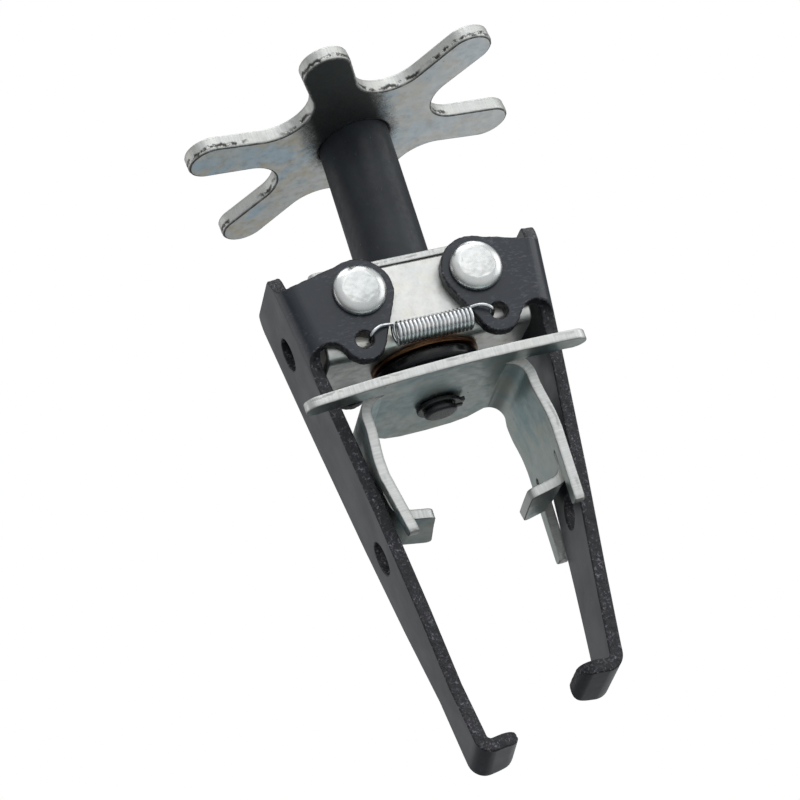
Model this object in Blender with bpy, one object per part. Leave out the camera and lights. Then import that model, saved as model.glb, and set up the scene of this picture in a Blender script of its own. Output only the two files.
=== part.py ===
"""Overhead valve spring compressor with a star handle, two hooked jaws and a sliding pusher.

All lengths below are millimetres; MM turns them into metres when a mesh is written.
+Z runs up the spindle towards the handle, +X is the tool's right, -Y is its front.
Z = 0 is the level of the front edge of the longer jaw's hook seat.
"""
import math

import bmesh
import bpy
from mathutils import Matrix, Vector
from mathutils.geometry import delaunay_2d_cdt

MM = 0.001
GAP = 0.3                      # running and seam clearance between neighbouring pieces

# levels along the spindle axis
STAR_Z = 184.6                 # underside of the star plate at the axis
PLATE_TOP = 139.2              # frame top plate
PLATE_T = 2.1
WEB_Z = 112.0                  # underside of the channel web
PUSHER_Z = 98.5                # underside of the pusher plate
PIVOT_Z = 129.3                # jaw rivets

# handle
STAR_T = 4.5
STAR_TILT = math.radians(4.8)  # the star is welded slightly out of square: up on the right
STAR_DROP = math.radians(3.2)  # and down at the rear
STAR_FIRST = math.radians(-17.5)
LOBE_R = (51.6, 53.8, 53.8, 54.0, 54.5, 53.8)
LOBES = len(LOBE_R)
LOBE_END_R = 7.3
VALLEY_R = 25.5
VALLEY_ARC = 11.5
TUBE_R = 11.0
TUBE_BORE = 9.2
NUT_BORE = 7.35
THREAD_R = 7.0

# frame
CHANNEL_T = 2.5
CHANNEL_Y = 15.0               # outer face of each flange
CHANNEL_X = 30.5
CHANNEL_R = 4.0
PIVOT_X = 17.4
RIVET_R = 4.0
HEAD_R = 7.75
HEAD_H = 3.3

# jaws
JAW_T = 3.8
LEFT_LEAN = math.radians(7.7)
RIGHT_LEAN = math.radians(6.7)
JAW_TOP_X = 40.5               # outer face at the top of the lip
JAW_TOP_Z = 141.0
JAW_BEND_R = 6.0               # outer radius of the ear bends
EAR_Y = 19.1                   # outer face of each ear
EAR_R = 10.0
TAB_R = 6.2
TAB_HOLE_R = 2.6
STRIP_HOLE_R = 4.8
HOOK_R = 1.2                   # inner radius of the hook bend
HOOK_LEN = 7.6
TIP_WIDE = 5.4                 # half width and length of the rounded tip of each hook
TIP_LONG = 6.0
SKEW_RUN = 14.0
HOOK_SKEW = 3.4                # the rear edge of each hook hangs lower, to follow a coil's pitch
LEFT_HOOK_W = 8.4              # half width of each hook at its bend
RIGHT_HOOK_W = 9.6
LEFT_HOOK_Z = 0.0              # hook seats; the left jaw reaches lower than the right one
RIGHT_HOOK_Z = 12.8

# pusher
PUSHER_T = 3.0
PUSHER_R = 7.5                 # outer radius of the leg bends
PUSHER_X = 25.8                # outer face of each leg at the plate
PUSHER_SHIFT = -1.0            # the plate sits slightly to the left of the spindle
PUSHER_ROLL = math.radians(1.5)
PUSHER_YAW = math.radians(2.0)
DISH = 0.9                     # the plate is pressed slightly hollow from above
LEG_LEAN = math.tan(math.radians(1.6))
BAR_X = 41.1
BAR_FRONT = -28.5
BAR_BACK = -20.4
LEG_FRONT = -19.2
LEG_BACK = 18.8
FINGER_FRONT = -13.2
FINGER_BACK = 10.4
FINGER_R = 6.0
FINGER_BEND = math.radians(79)
FINGER_SKEW = 1.7              # the finger tips are cut slightly out of square
TIP_R = 2.0
# the two legs differ; -1 is the left one and 1 the right one
FINGER_TURN = {-1: 31.2, 1: 33.0}      # drop at which the finger starts to bend inwards
FINGER_REACH = {-1: 5.6, 1: 8.0}
FRONT_PRONG = {-1: 41.8, 1: 45.5}      # prong lengths below the plate's top face
BACK_PRONG = {-1: 51.0, 1: 53.0}
LEG_CLOSE = {-1: 0.145, 1: 0.07}        # how fast the lower leg closes in

# springs
COIL_R = 3.0
WIRE_R = 0.5
COILS = 19
COIL_HALF = 11.2
SPRING_Y = 19.3
SPRING_Z = 114.4


# the finishes: colour, roughness and metallic value
FINISHES = {
    "zinc_plate": ((0.68, 0.69, 0.68), 0.40, 0.9),
    "satin_black": ((0.030, 0.032, 0.035), 0.42, 0.0),
    "gloss_black": ((0.012, 0.012, 0.014), 0.20, 0.0),
    "black_paint": ((0.020, 0.022, 0.026), 0.33, 0.0),
    "black_oxide": ((0.040, 0.040, 0.045), 0.35, 0.0),
    "bronze": ((0.45, 0.25, 0.12), 0.40, 0.9),
    "bright_steel": ((0.75, 0.75, 0.75), 0.25, 1.0),
}

# the empties that carry the pieces: each stands on its body's joint axis
AXES = {
    "frame_origin": (0.0, 0.0, 0.0),
    "handle_axis": (0.0, 0.0, 130.0),
    "pusher_axis": (0.0, 0.0, PUSHER_Z),
    "left_jaw_axis": (-PIVOT_X, 0.0, PIVOT_Z),
    "right_jaw_axis": (PIVOT_X, 0.0, PIVOT_Z),
}

# each piece's empty and finish
PIECES = {
    "star_handle": ("handle_axis", "zinc_plate"),
    "handle_weld": ("handle_axis", "zinc_plate"),
    "handle_tube": ("handle_axis", "satin_black"),
    "drive_nut": ("handle_axis", "zinc_plate"),
    "thrust_washer": ("handle_axis", "bronze"),
    "thrust_collar": ("handle_axis", "gloss_black"),
    "spindle": ("pusher_axis", "black_oxide"),
    "pusher": ("pusher_axis", "zinc_plate"),
    "pusher_washer": ("pusher_axis", "zinc_plate"),
    "retaining_clip": ("pusher_axis", "black_oxide"),
    "frame_channel": ("frame_origin", "zinc_plate"),
    "frame_top_plate": ("frame_origin", "zinc_plate"),
    "front_spring": ("frame_origin", "bright_steel"),
    "rear_spring": ("frame_origin", "bright_steel"),
    "left_front_rivet": ("left_jaw_axis", "bright_steel"),
    "left_rear_rivet": ("left_jaw_axis", "bright_steel"),
    "right_front_rivet": ("right_jaw_axis", "bright_steel"),
    "right_rear_rivet": ("right_jaw_axis", "bright_steel"),
    "left_jaw": ("left_jaw_axis", "black_paint"),
    "right_jaw": ("right_jaw_axis", "black_paint"),
}


def clear_scene():
    for obj in list(bpy.data.objects):
        bpy.data.objects.remove(obj, do_unlink=True)


def add_axes():
    for name, place in AXES.items():
        empty = bpy.data.objects.new(name, None)
        empty.location = Vector(place) * MM
        empty.empty_display_size = 10 * MM
        bpy.context.scene.collection.objects.link(empty)


def piece_material(name, finish):
    color, roughness, metallic = FINISHES[finish]
    material = bpy.data.materials.new(name + "_" + finish)
    material.use_nodes = True
    shader = material.node_tree.nodes["Principled BSDF"]
    shader.inputs["Base Color"].default_value = (*color, 1.0)
    shader.inputs["Roughness"].default_value = roughness
    shader.inputs["Metallic"].default_value = metallic
    return material


def add_object(name, bm):
    """Turns millimetres into metres about the piece's axis, and hangs the piece on that axis's empty."""
    axis, finish = PIECES[name]
    bmesh.ops.remove_doubles(bm, verts=bm.verts, dist=1e-4)
    bmesh.ops.recalc_face_normals(bm, faces=bm.faces)
    if bm.calc_volume(signed=True) < 0:
        bmesh.ops.reverse_faces(bm, faces=bm.faces)
    home = Matrix.Scale(MM, 4) @ Matrix.Translation(-Vector(AXES[axis]))
    bmesh.ops.transform(bm, matrix=home, verts=bm.verts)
    mesh = bpy.data.meshes.new(name)
    bm.to_mesh(mesh)
    bm.free()
    mesh.shade_smooth()
    mesh.set_sharp_from_angle(angle=math.radians(35))
    mesh.materials.append(piece_material(name, finish))
    obj = bpy.data.objects.new(name, mesh)
    obj.parent = bpy.data.objects[axis]
    bpy.context.scene.collection.objects.link(obj)
    return obj


def arc(cx, cy, radius, start, end, count):
    """Points on a circle from start to end in degrees."""
    pts = []
    for i in range(count + 1):
        a = math.radians(start + (end - start) * i / count)
        pts.append((cx + radius * math.cos(a), cy + radius * math.sin(a)))
    return pts


def ring(cx, cy, radius, count=24):
    return arc(cx, cy, radius, 0, 360, count)[:-1]


def smooth(t):
    t = min(max(t, 0.0), 1.0)
    return t * t * (3 - 2 * t)


def inside(poly, x, y):
    hit = False
    for (x0, y0), (x1, y1) in zip(poly, poly[1:] + poly[:1]):
        if (y0 > y) != (y1 > y) and x < (x1 - x0) * (y - y0) / (y1 - y0) + x0:
            hit = not hit
    return hit


def sheet(outline, holes, lines, levels, place):
    """Solid sheet: a flat pattern cut along extra lines, then folded by place(u, v, level)."""
    points, edges = [], []
    for loop in [outline] + holes:
        base = len(points)
        points += [Vector(p) for p in loop]
        edges += [(base + i, base + (i + 1) % len(loop)) for i in range(len(loop))]
    for (a, b) in lines:
        edges.append((len(points), len(points) + 1))
        points += [Vector(a), Vector(b)]
    verts, _, faces, _, _, _ = delaunay_2d_cdt(points, edges, [], 0, 1e-5)
    kept = []
    for face in faces:
        cx = sum(verts[i][0] for i in face) / len(face)
        cy = sum(verts[i][1] for i in face) / len(face)
        if inside(outline, cx, cy) and not any(inside(h, cx, cy) for h in holes):
            kept.append(tuple(face))
    used = sorted({i for f in kept for i in f})
    bm = bmesh.new()
    layer = [{i: bm.verts.new(place(verts[i][0], verts[i][1], k)) for i in used} for k in levels]
    count = {}
    for f in kept:
        bm.faces.new([layer[0][i] for i in f])
        bm.faces.new([layer[-1][i] for i in reversed(f)])
        for a, b in zip(f, f[1:] + f[:1]):
            count[(a, b)] = count.get((a, b), 0) + 1
    for (a, b) in count:
        if (b, a) not in count:
            for low, high in zip(layer, layer[1:]):
                bm.faces.new([low[b], low[a], high[a], high[b]])
    return bm


def revolve(profile, segments=48):
    """Closed ring or plug from (radius, z) points; radius 0 closes on the axis."""
    bm = bmesh.new()
    rows = []
    for radius, z in profile:
        if radius < 1e-6:
            rows.append([bm.verts.new((0, 0, z))])
        else:
            rows.append([bm.verts.new((radius * math.cos(2 * math.pi * i / segments),
                                       radius * math.sin(2 * math.pi * i / segments), z))
                         for i in range(segments)])
    for r0, r1 in zip(rows, rows[1:] + rows[:1]):
        if len(r0) == 1 and len(r1) == 1:
            continue
        for i in range(segments):
            j = (i + 1) % segments
            if len(r0) == 1:
                bm.faces.new([r0[0], r1[i], r1[j]])
            elif len(r1) == 1:
                bm.faces.new([r0[i], r1[0], r0[j]])
            else:
                bm.faces.new([r0[i], r1[i], r1[j], r0[j]])
    return bm


def sweep(path, radius, sides=6):
    """Round wire along a list of points, closed at both ends."""
    bm = bmesh.new()
    path = [Vector(p) for p in path]
    loops = []
    normal = Vector((0, 0, 1))
    for i, p in enumerate(path):
        tangent = (path[min(i + 1, len(path) - 1)] - path[max(i - 1, 0)]).normalized()
        normal = (normal - tangent * normal.dot(tangent)).normalized()
        side = tangent.cross(normal)
        loops.append([bm.verts.new(p + (normal * math.cos(2 * math.pi * k / sides)
                                        + side * math.sin(2 * math.pi * k / sides)) * radius)
                      for k in range(sides)])
    for a, b in zip(loops, loops[1:]):
        for k in range(sides):
            bm.faces.new([a[k], a[(k + 1) % sides], b[(k + 1) % sides], b[k]])
    bm.faces.new(list(reversed(loops[0])))
    bm.faces.new(loops[-1])
    return bm


def star_tilted(bm):
    turn = (Matrix.Translation((0, 0, STAR_Z)) @ Matrix.Rotation(-STAR_DROP, 4, 'X')
            @ Matrix.Rotation(-STAR_TILT, 4, 'Y') @ Matrix.Translation((0, 0, -STAR_Z)))
    bmesh.ops.transform(bm, matrix=turn, verts=bm.verts)


def build_star():
    outline = []
    for k in range(LOBES):
        mid = STAR_FIRST + k * 2 * math.pi / LOBES - math.pi / 2
        valley = mid + math.pi / LOBES
        ex, ey = math.cos(mid), math.sin(mid)
        centre = LOBE_R[k] - LOBE_END_R
        start = math.degrees(mid)
        outline += arc(ex * centre, ey * centre, LOBE_END_R, start - 86, start + 86, 10)
        vx, vy = math.cos(valley), math.sin(valley)
        far = VALLEY_R + VALLEY_ARC
        back = math.degrees(valley) + 180
        outline += arc(vx * far, vy * far, VALLEY_ARC, back + 58, back - 58, 8)
    bm = sheet(outline, [ring(0, 0, TUBE_R + 0.8, 48)], [], (0, 0.5, STAR_T - 0.5, STAR_T),
               lambda u, v, k: (u * edge_inset(u, v, k), v * edge_inset(u, v, k), STAR_Z + k))
    star_tilted(bm)
    add_object("star_handle", bm)
    inner, top = TUBE_R + 1.1, STAR_Z + STAR_T + GAP
    weld = revolve([(inner, top), (inner + 3.2, top), (inner + 2.6, top + 1.0),
                    (inner + 1.2, top + 1.9), (inner, top + 2.2)])
    star_tilted(weld)
    add_object("handle_weld", weld)


def edge_inset(u, v, k):
    """Slightly smaller outline on the two outer layers, which breaks the plate's edges."""
    r = math.hypot(u, v)
    return 1.0 - 0.4 / r if r > TUBE_R + 2 and k in (0, STAR_T) else 1.0


def build_handle_core():
    top, low = STAR_Z + STAR_T + 1.4, WEB_Z - 6.2
    add_object("handle_tube", revolve([(TUBE_R, low), (TUBE_R, top - 0.6), (TUBE_R - 0.6, top),
                                       (TUBE_BORE, top), (TUBE_BORE, low)]))
    nut_r = TUBE_BORE - GAP
    add_object("drive_nut", revolve([(nut_r, low), (nut_r, low + 30), (nut_r - 0.5, low + 30.5),
                                     (NUT_BORE, low + 30.5), (NUT_BORE, low)]))
    inner = TUBE_R + GAP
    washer_z = WEB_Z - GAP
    add_object("thrust_washer", revolve([(inner, washer_z - 1.0), (15.9, washer_z - 1.0),
                                         (15.9, washer_z), (inner, washer_z)]))
    z1 = washer_z - 1.0 - GAP
    z0 = z1 - 4.4
    profile = [(inner, z0), (13.6, z0)]
    profile += [(13.6 + 2.0 * math.sin(math.radians(a)), z0 + 2.0 - 2.0 * math.cos(math.radians(a)))
                for a in (30, 60, 90)]
    profile += [(15.6, z1 - 1.2), (15.2, z1 - 0.4), (14.4, z1), (inner, z1)]
    add_object("thrust_collar", revolve(profile))


def build_spindle():
    shoulder = PUSHER_Z + PUSHER_T + 1.0 + 4 * GAP
    stub = 5.0
    groove_z = PUSHER_Z - 2 * GAP
    low = groove_z - 1.2 - 2 * GAP
    profile = [(0, low - 1.5), (stub - 0.7, low - 1.5), (stub, low - 0.8), (stub, low), (4.2, low),
               (4.2, groove_z + GAP), (stub, groove_z + GAP), (stub, shoulder),
               (THREAD_R, shoulder), (THREAD_R, STAR_Z - 12.5), (THREAD_R - 1.2, STAR_Z - 11.3),
               (0, STAR_Z - 11.3)]
    add_object("spindle", revolve(profile))
    # washer between the spindle shoulder and the pusher plate
    z0 = PUSHER_Z + PUSHER_T + 2 * GAP
    add_object("pusher_washer", revolve([(5.4, z0), (9.5, z0), (9.5, z0 + 1.0), (5.4, z0 + 1.0)]))
    # C-shaped retaining clip with its two lugs towards +X
    outline = arc(0, 0, 6.7, 22, 338, 30)
    outline += [(7.3, -2.7), (7.3, -0.8), (4.6, -0.8)]
    outline += arc(0, 0, 4.5, 342, 18, 26)
    outline += [(4.6, 0.8), (7.3, 0.8), (7.3, 2.7)]
    bm = sheet(outline, [], [], (0.0, 1.2), lambda u, v, k: (u, v, groove_z - 1.2 + k))
    add_object("retaining_clip", bm)


def build_frame():
    rim = PLATE_TOP - PLATE_T - GAP
    radius = CHANNEL_R - CHANNEL_T / 2
    flat = CHANNEL_Y - CHANNEL_R
    turn = flat + radius * math.pi / 2
    height = rim - (WEB_Z + CHANNEL_R)

    def place(u, v, k):
        s = 1 if v >= 0 else -1
        w = abs(v)
        if w <= flat:
            return (u, v, WEB_Z + k)
        if w <= turn:
            a = (w - flat) / radius
            r = CHANNEL_R - k
            return (u, s * (flat + r * math.sin(a)), WEB_Z + CHANNEL_R - r * math.cos(a))
        return (u, s * (CHANNEL_Y - k), WEB_Z + CHANNEL_R + w - turn)

    span = turn + height
    outline = []
    for (x, y, a) in ((1, 1, 0), (-1, 1, 90), (-1, -1, 180), (1, -1, 270)):
        outline += arc(x * (CHANNEL_X - 3), y * (span - 3), 3, a, a + 90, 4)
    pivot = turn + PIVOT_Z - WEB_Z - CHANNEL_R
    holes = [ring(0, 0, TUBE_R + GAP, 48)]
    holes += [ring(x * PIVOT_X, y * pivot, RIVET_R + GAP) for x in (-1, 1) for y in (-1, 1)]
    lines = []
    for y in (-1, 1):
        for i in range(7):
            w = y * (flat + (turn - flat) * i / 6)
            lines.append(((-CHANNEL_X - 1, w), (CHANNEL_X + 1, w)))
    add_object("frame_channel", sheet(outline, holes, lines, (0.0, CHANNEL_T), place))
    outline = []
    for (x, y, a) in ((1, 1, 0), (-1, 1, 90), (-1, -1, 180), (1, -1, 270)):
        outline += arc(x * (29.0 - 2), y * (CHANNEL_Y - 2), 2, a, a + 90, 4)
    add_object("frame_top_plate", sheet(outline, [ring(0, 0, TUBE_R + GAP, 48)], [], (0.0, PLATE_T),
                                        lambda u, v, k: (u, v, PLATE_TOP - PLATE_T + k)))


def build_rivets():
    inner = CHANNEL_Y - CHANNEL_T
    for side, sx in (("left", -1), ("right", 1)):
        for face, sy in (("front", -1), ("rear", 1)):
            base = EAR_Y + GAP
            profile = [(0, inner - 2.4), (4.6, inner - 2.2), (5.8, inner - 1.2), (5.8, inner - GAP),
                       (RIVET_R, inner - GAP), (RIVET_R, base), (HEAD_R - 0.3, base)]
            for i in range(8):
                a = math.radians(12 + 78 * i / 7)
                profile.append((HEAD_R * math.cos(a) ** 0.8 if i < 7 else 0,
                                base + HEAD_H * math.sin(a) ** 0.8))
            bm = revolve(profile, 32)
            turn = Matrix.Rotation(math.radians(90 if sy < 0 else -90), 4, 'X')
            bmesh.ops.transform(bm, matrix=Matrix.Translation((sx * PIVOT_X, 0, PIVOT_Z)) @ turn,
                                verts=bm.verts)
            add_object(side + "_" + face + "_rivet", bm)


def jaw_local(x, z, lean):
    """Depth behind the jaw's outer face and distance down the strip for a point at +X."""
    dx, dz = x - JAW_TOP_X, z - JAW_TOP_Z
    down = -dx * math.sin(lean) - dz * math.cos(lean)
    depth = -dx * math.cos(lean) + dz * math.sin(lean)
    return depth, down


def build_jaw(name, side, hook_z, jaw_lean, hook_w):
    mid_r = JAW_BEND_R - JAW_T / 2
    flat = EAR_Y - JAW_BEND_R
    turn = flat + mid_r * math.pi / 2
    shift = turn - JAW_BEND_R                      # pattern width minus depth on the ears
    pivot_d, pivot_v = jaw_local(PIVOT_X, PIVOT_Z, jaw_lean)
    tab_d, tab_v = jaw_local(20.0, 114.9, jaw_lean)
    seat_down = (JAW_TOP_Z - hook_z) / math.cos(jaw_lean)
    # the hook bend starts so that its inner surface lands on the seat level
    bend_v = seat_down - HOOK_R - JAW_T * math.tan(jaw_lean) / 2 + 0.3
    hook_mid = HOOK_R + JAW_T / 2
    sweep_a = math.radians(90)
    bend_end = bend_v + hook_mid * sweep_a
    tip_v = bend_end + HOOK_LEN

    # half of the flat pattern, from the lip round the ear and down the strip to the hook tip
    pu, pv = pivot_d + shift, pivot_v
    tu, tv = tab_d + shift, tab_v
    lean = math.degrees(math.atan2(tv - pv, tu - pu))
    side_a = lean - math.degrees(math.acos((EAR_R - TAB_R) / math.hypot(tu - pu, tv - pv)))
    arch_u, arch_v, arch_r = 19.45, tv + 2.55, 5.0
    meet = math.degrees(math.atan2(arch_v - tv, arch_u - tu))
    half = [(10.0, 0.0), (12.2, 0.5), (13.4, 2.2), (15.2, 5.8), (19.0, 6.5)]
    half += arc(pu, pv, EAR_R, -108, side_a, 16)
    half += arc(tu, tv, TAB_R, side_a, meet - 4 if meet > 0 else meet + 356, 14)
    start = math.degrees(math.atan2(tv - arch_v, tu - arch_u))
    half += arc(arch_u, arch_v, arch_r, start - 6, -180, 12)
    half += [(14.4, arch_v + 3), (14.2, 45), (13.1, 77), (10.8, 104), (7.6, 126)]
    half = [p for p in half if p[1] < bend_v - 6]
    half += [(hook_w, bend_v - 2), (hook_w, bend_end + HOOK_LEN - TIP_LONG)]
    for i in range(1, 8):
        a = math.radians(90 * i / 7)
        half.append((hook_w - TIP_WIDE + TIP_WIDE * math.cos(a), tip_v - TIP_LONG + TIP_LONG * math.sin(a)))
    outline = half + [(-u, v) for u, v in reversed(half)]
    holes = [ring(s * pu, pv, RIVET_R + GAP, 28) for s in (-1, 1)]
    holes += [ring(s * tu, tv, TAB_HOLE_R, 20) for s in (-1, 1)]
    holes += [ring(0, v, STRIP_HOLE_R, 28) for v in (18.9, 84.3)]
    lines = []
    for s in (-1, 1):
        for i in range(8):
            w = s * (flat + (turn - flat) * i / 7)
            lines.append(((w, 1.0 + abs(w) * 0.25), (w, 34.0)))
    for i in range(10):
        v = bend_v + (bend_end - bend_v) * i / 9
        lines.append(((-20, v), (20, v)))
    for i in range(1, 6):
        v = tip_v - 3.6 * i / 5
        lines.append(((-20, v), (20, v)))
    for i in range(1, 6):
        v = bend_v - SKEW_RUN * i / 5
        lines.append(((-20, v), (20, v)))

    def place(u, v, k):
        s = 1 if u >= 0 else -1
        w, depth, along = abs(u), k, v
        y = u
        if v < 36 and w > flat:
            a = min((w - flat) / mid_r, math.pi / 2)
            r = JAW_BEND_R - k
            yb, db = s * (flat + r * math.sin(a)), JAW_BEND_R - r * math.cos(a)
            if w > turn:
                yb, db = s * (EAR_Y - k), JAW_BEND_R + w - turn
            t = smooth((v - arch_v - 0.5) / 4.0) if w < arch_u else 0
            y, depth = yb * (1 - t) + u * t, db * (1 - t) + k * t
        if v > bend_v:
            a = min((v - bend_v) / hook_mid, sweep_a)
            thick = k
            if v > tip_v - 3.6:
                q = (v - tip_v + 3.6) / 3.6
                thick = max(k, (JAW_T - 0.5) * (1 - math.sqrt(max(1 - q * q, 0))))
            r = HOOK_R + JAW_T - thick
            along = bend_v + r * math.sin(a)
            depth = HOOK_R + JAW_T - r * math.cos(a)
            if v > bend_end:
                run = v - bend_end
                along = bend_v + r * math.sin(sweep_a) + run * math.cos(sweep_a)
                depth = HOOK_R + JAW_T - r * math.cos(sweep_a) + run * math.sin(sweep_a)
        along += HOOK_SKEW * (u / hook_w + 1) / 2 * smooth((v - bend_v + SKEW_RUN) / SKEW_RUN)
        x = JAW_TOP_X - along * math.sin(jaw_lean) - depth * math.cos(jaw_lean)
        z = JAW_TOP_Z - along * math.cos(jaw_lean) + depth * math.sin(jaw_lean)
        return (side * x, y, z)

    add_object(name, sheet(outline, holes, lines, (0.0, JAW_T), place))


def build_pusher():
    radius = PUSHER_R - PUSHER_T / 2
    flat = PUSHER_X - PUSHER_R
    turn = flat + radius * math.pi / 2
    leg = turn - PUSHER_R                          # pattern width minus drop below the top face
    finger_mid = FINGER_R - PUSHER_T / 2

    def half_pattern(side):
        """Half of the flat pattern, from the middle of the bar round the leg to the rear edge."""
        bend_end = FINGER_TURN[side] + finger_mid * FINGER_BEND
        tip = leg + bend_end + FINGER_REACH[side]
        skew = -FINGER_SKEW * side
        half = [(0.0, BAR_FRONT - 0.9), (20.0, BAR_FRONT - 0.5), (BAR_X - 5.5, BAR_FRONT + 0.3)]
        half += arc(BAR_X - 4.0, BAR_FRONT + 4.4, 4.0, -80, 80, 8)
        half += [(BAR_X - 6.0, BAR_BACK), (flat + 0.6, BAR_BACK), (flat - 0.2, BAR_BACK + 0.6),
                 (flat + 0.6, LEG_FRONT)]
        front = leg + FRONT_PRONG[side]
        half += [(leg + 12, LEG_FRONT), (front - 1.4, LEG_FRONT), (front, LEG_FRONT + 1.2),
                 (front, FINGER_FRONT - 2.4), (front - 1.0, FINGER_FRONT - 1.6)]
        slit = leg + FINGER_TURN[side] - 3.5
        half += [(slit, FINGER_FRONT - 1.6), (slit - 1.2, FINGER_FRONT - 0.9), (slit, FINGER_FRONT)]
        half += arc(tip - TIP_R, FINGER_FRONT + TIP_R, TIP_R, -90, 0, 3)
        half += arc(tip + skew - TIP_R, FINGER_BACK - TIP_R, TIP_R, 0, 90, 3)
        half += [(slit, FINGER_BACK), (slit - 1.2, FINGER_BACK + 1.2), (slit, FINGER_BACK + 3.0)]
        back = leg + BACK_PRONG[side]
        half += [(back - 1.0, FINGER_BACK + 3.8), (back, FINGER_BACK + 4.8), (back, LEG_BACK - 1.6),
                 (back - 1.6, LEG_BACK), (leg + 14, LEG_BACK), (leg + 9, LEG_BACK - 1.0)]
        half += [(turn - 0.5, 16.2), (flat, 15.2), (17.4, 15.0), (15.6, 16.6), (13.0, 18.8),
                 (8.0, 20.4), (0.0, 20.9)]
        return half

    outline = half_pattern(1) + [(-u, v) for u, v in reversed(half_pattern(-1))]
    clean = []
    for p in outline:
        if not clean or math.dist(p, clean[-1]) > 1e-6:
            clean.append(p)
    if math.dist(clean[0], clean[-1]) < 1e-6:
        clean.pop()
    lines = []
    for s in (-1, 1):
        for i in range(8):
            w = s * (flat + (turn - flat) * i / 7)
            lines.append(((w, LEG_FRONT), (w, 22)))
        for drop in (9, 12, 15, 18, 21):
            lines.append(((s * (leg + drop), -22), (s * (leg + drop), 22)))
        for i in range(8):
            w = s * (leg + FINGER_TURN[s] + finger_mid * FINGER_BEND * i / 7)
            lines.append(((w, FINGER_FRONT - 0.2), (w, FINGER_BACK + 0.2)))
    for x in (-14, 0, 14):
        lines.append(((x, -30), (x, 22)))

    def place(u, v, k):
        s = 1 if u >= 0 else -1
        w = abs(u)
        x, z = u, -k
        if v > LEG_FRONT - 0.05 and w > flat:
            if w <= turn:
                a = (w - flat) / radius
                r = PUSHER_R - k
                x, z = s * (flat + r * math.sin(a)), -PUSHER_R + r * math.cos(a)
            else:
                drop = w - leg
                inward = 0.0
                down = drop
                if drop > FINGER_TURN[s] and FINGER_FRONT - 0.1 <= v <= FINGER_BACK + 0.1:
                    a = min((drop - FINGER_TURN[s]) / finger_mid, FINGER_BEND)
                    run = max(drop - FINGER_TURN[s] - finger_mid * FINGER_BEND, 0)
                    r = FINGER_R - k
                    down = FINGER_TURN[s] + r * math.sin(a) + run * math.cos(a)
                    inward = FINGER_R - r * math.cos(a) - k + run * math.sin(a)
                out = 1.1 * smooth((down - 9) / 12) - LEG_CLOSE[s] * max(down - 24, 0)
                x = s * (PUSHER_X + out - k - inward) + LEG_LEAN * max(down - PUSHER_R, 0)
                z = -down
        across, back = min(w, BAR_X) / BAR_X, v / BAR_FRONT
        return (x + PUSHER_SHIFT, v, z - DISH * (across * across + back * back))

    bm = sheet(clean, [ring(-PUSHER_SHIFT, 0, 5.4, 28)], lines, (0.0, PUSHER_T), place)
    top = PUSHER_Z + PUSHER_T
    turn_m = Matrix.Rotation(-PUSHER_YAW, 4, 'Z') @ Matrix.Rotation(-PUSHER_ROLL, 4, 'Y')
    bmesh.ops.transform(bm, matrix=Matrix.Translation((0, 0, top)) @ turn_m, verts=bm.verts)
    add_object("pusher", bm)


def build_spring(name, face):
    path = []
    steps = 12
    total = COILS * steps
    # the left hook, the coils, then the right hook
    hook = [(-18.2, 3.1, 0.3), (-18.35, 1.9, 0.5), (-18.3, 0.6, 0.8), (-18.0, -0.5, 1.1),
            (-17.2, -1.25, 1.7), (-15.9, -1.4, 2.4), (-14.4, -1.1, 2.9), (-12.8, -0.5, 3.05)]
    path += [(x, dy - SPRING_Y, SPRING_Z + dz) for x, dy, dz in hook]
    for i in range(total + 1):
        a = 2 * math.pi * i / steps
        x = -COIL_HALF + 2 * COIL_HALF * i / total
        path.append((x, COIL_R * math.sin(a) - SPRING_Y, SPRING_Z + COIL_R * math.cos(a)))
    path += [(-x, dy - SPRING_Y, SPRING_Z + dz) for x, dy, dz in reversed(hook)]
    bm = sweep([(x, y * -face, z) for x, y, z in path], WIRE_R)
    add_object(name, bm)


clear_scene()
add_axes()
build_star()
build_handle_core()
build_spindle()
build_frame()
build_rivets()
build_jaw("left_jaw", -1, LEFT_HOOK_Z, LEFT_LEAN, LEFT_HOOK_W)
build_jaw("right_jaw", 1, RIGHT_HOOK_Z, RIGHT_LEAN, RIGHT_HOOK_W)
build_pusher()
build_spring("front_spring", -1)
build_spring("rear_spring", 1)
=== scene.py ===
"""Looks for the overhead valve spring compressor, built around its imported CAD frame.

Lengths in the shape functions are millimetres; MM turns them into metres when a mesh is written.
+Z runs up the spindle towards the star handle, +X is the tool's right, -Y is its front.
"""
import math

import bmesh
import bpy
from mathutils import Matrix, Vector, noise
from mathutils.geometry import delaunay_2d_cdt


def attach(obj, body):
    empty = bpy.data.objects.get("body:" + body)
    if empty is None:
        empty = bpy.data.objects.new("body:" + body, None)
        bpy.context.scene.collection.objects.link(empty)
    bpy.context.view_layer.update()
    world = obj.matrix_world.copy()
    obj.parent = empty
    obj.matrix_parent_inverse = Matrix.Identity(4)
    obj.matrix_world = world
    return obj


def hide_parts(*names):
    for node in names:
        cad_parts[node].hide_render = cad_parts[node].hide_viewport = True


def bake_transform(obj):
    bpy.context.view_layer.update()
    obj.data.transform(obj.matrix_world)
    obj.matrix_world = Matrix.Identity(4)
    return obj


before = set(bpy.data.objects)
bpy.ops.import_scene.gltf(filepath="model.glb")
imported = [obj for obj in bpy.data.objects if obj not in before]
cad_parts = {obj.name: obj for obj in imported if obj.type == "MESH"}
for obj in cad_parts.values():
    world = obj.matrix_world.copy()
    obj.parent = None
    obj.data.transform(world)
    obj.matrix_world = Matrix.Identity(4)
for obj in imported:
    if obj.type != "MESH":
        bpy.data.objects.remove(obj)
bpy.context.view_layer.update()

MM = 0.001
GAP = 0.3

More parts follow.
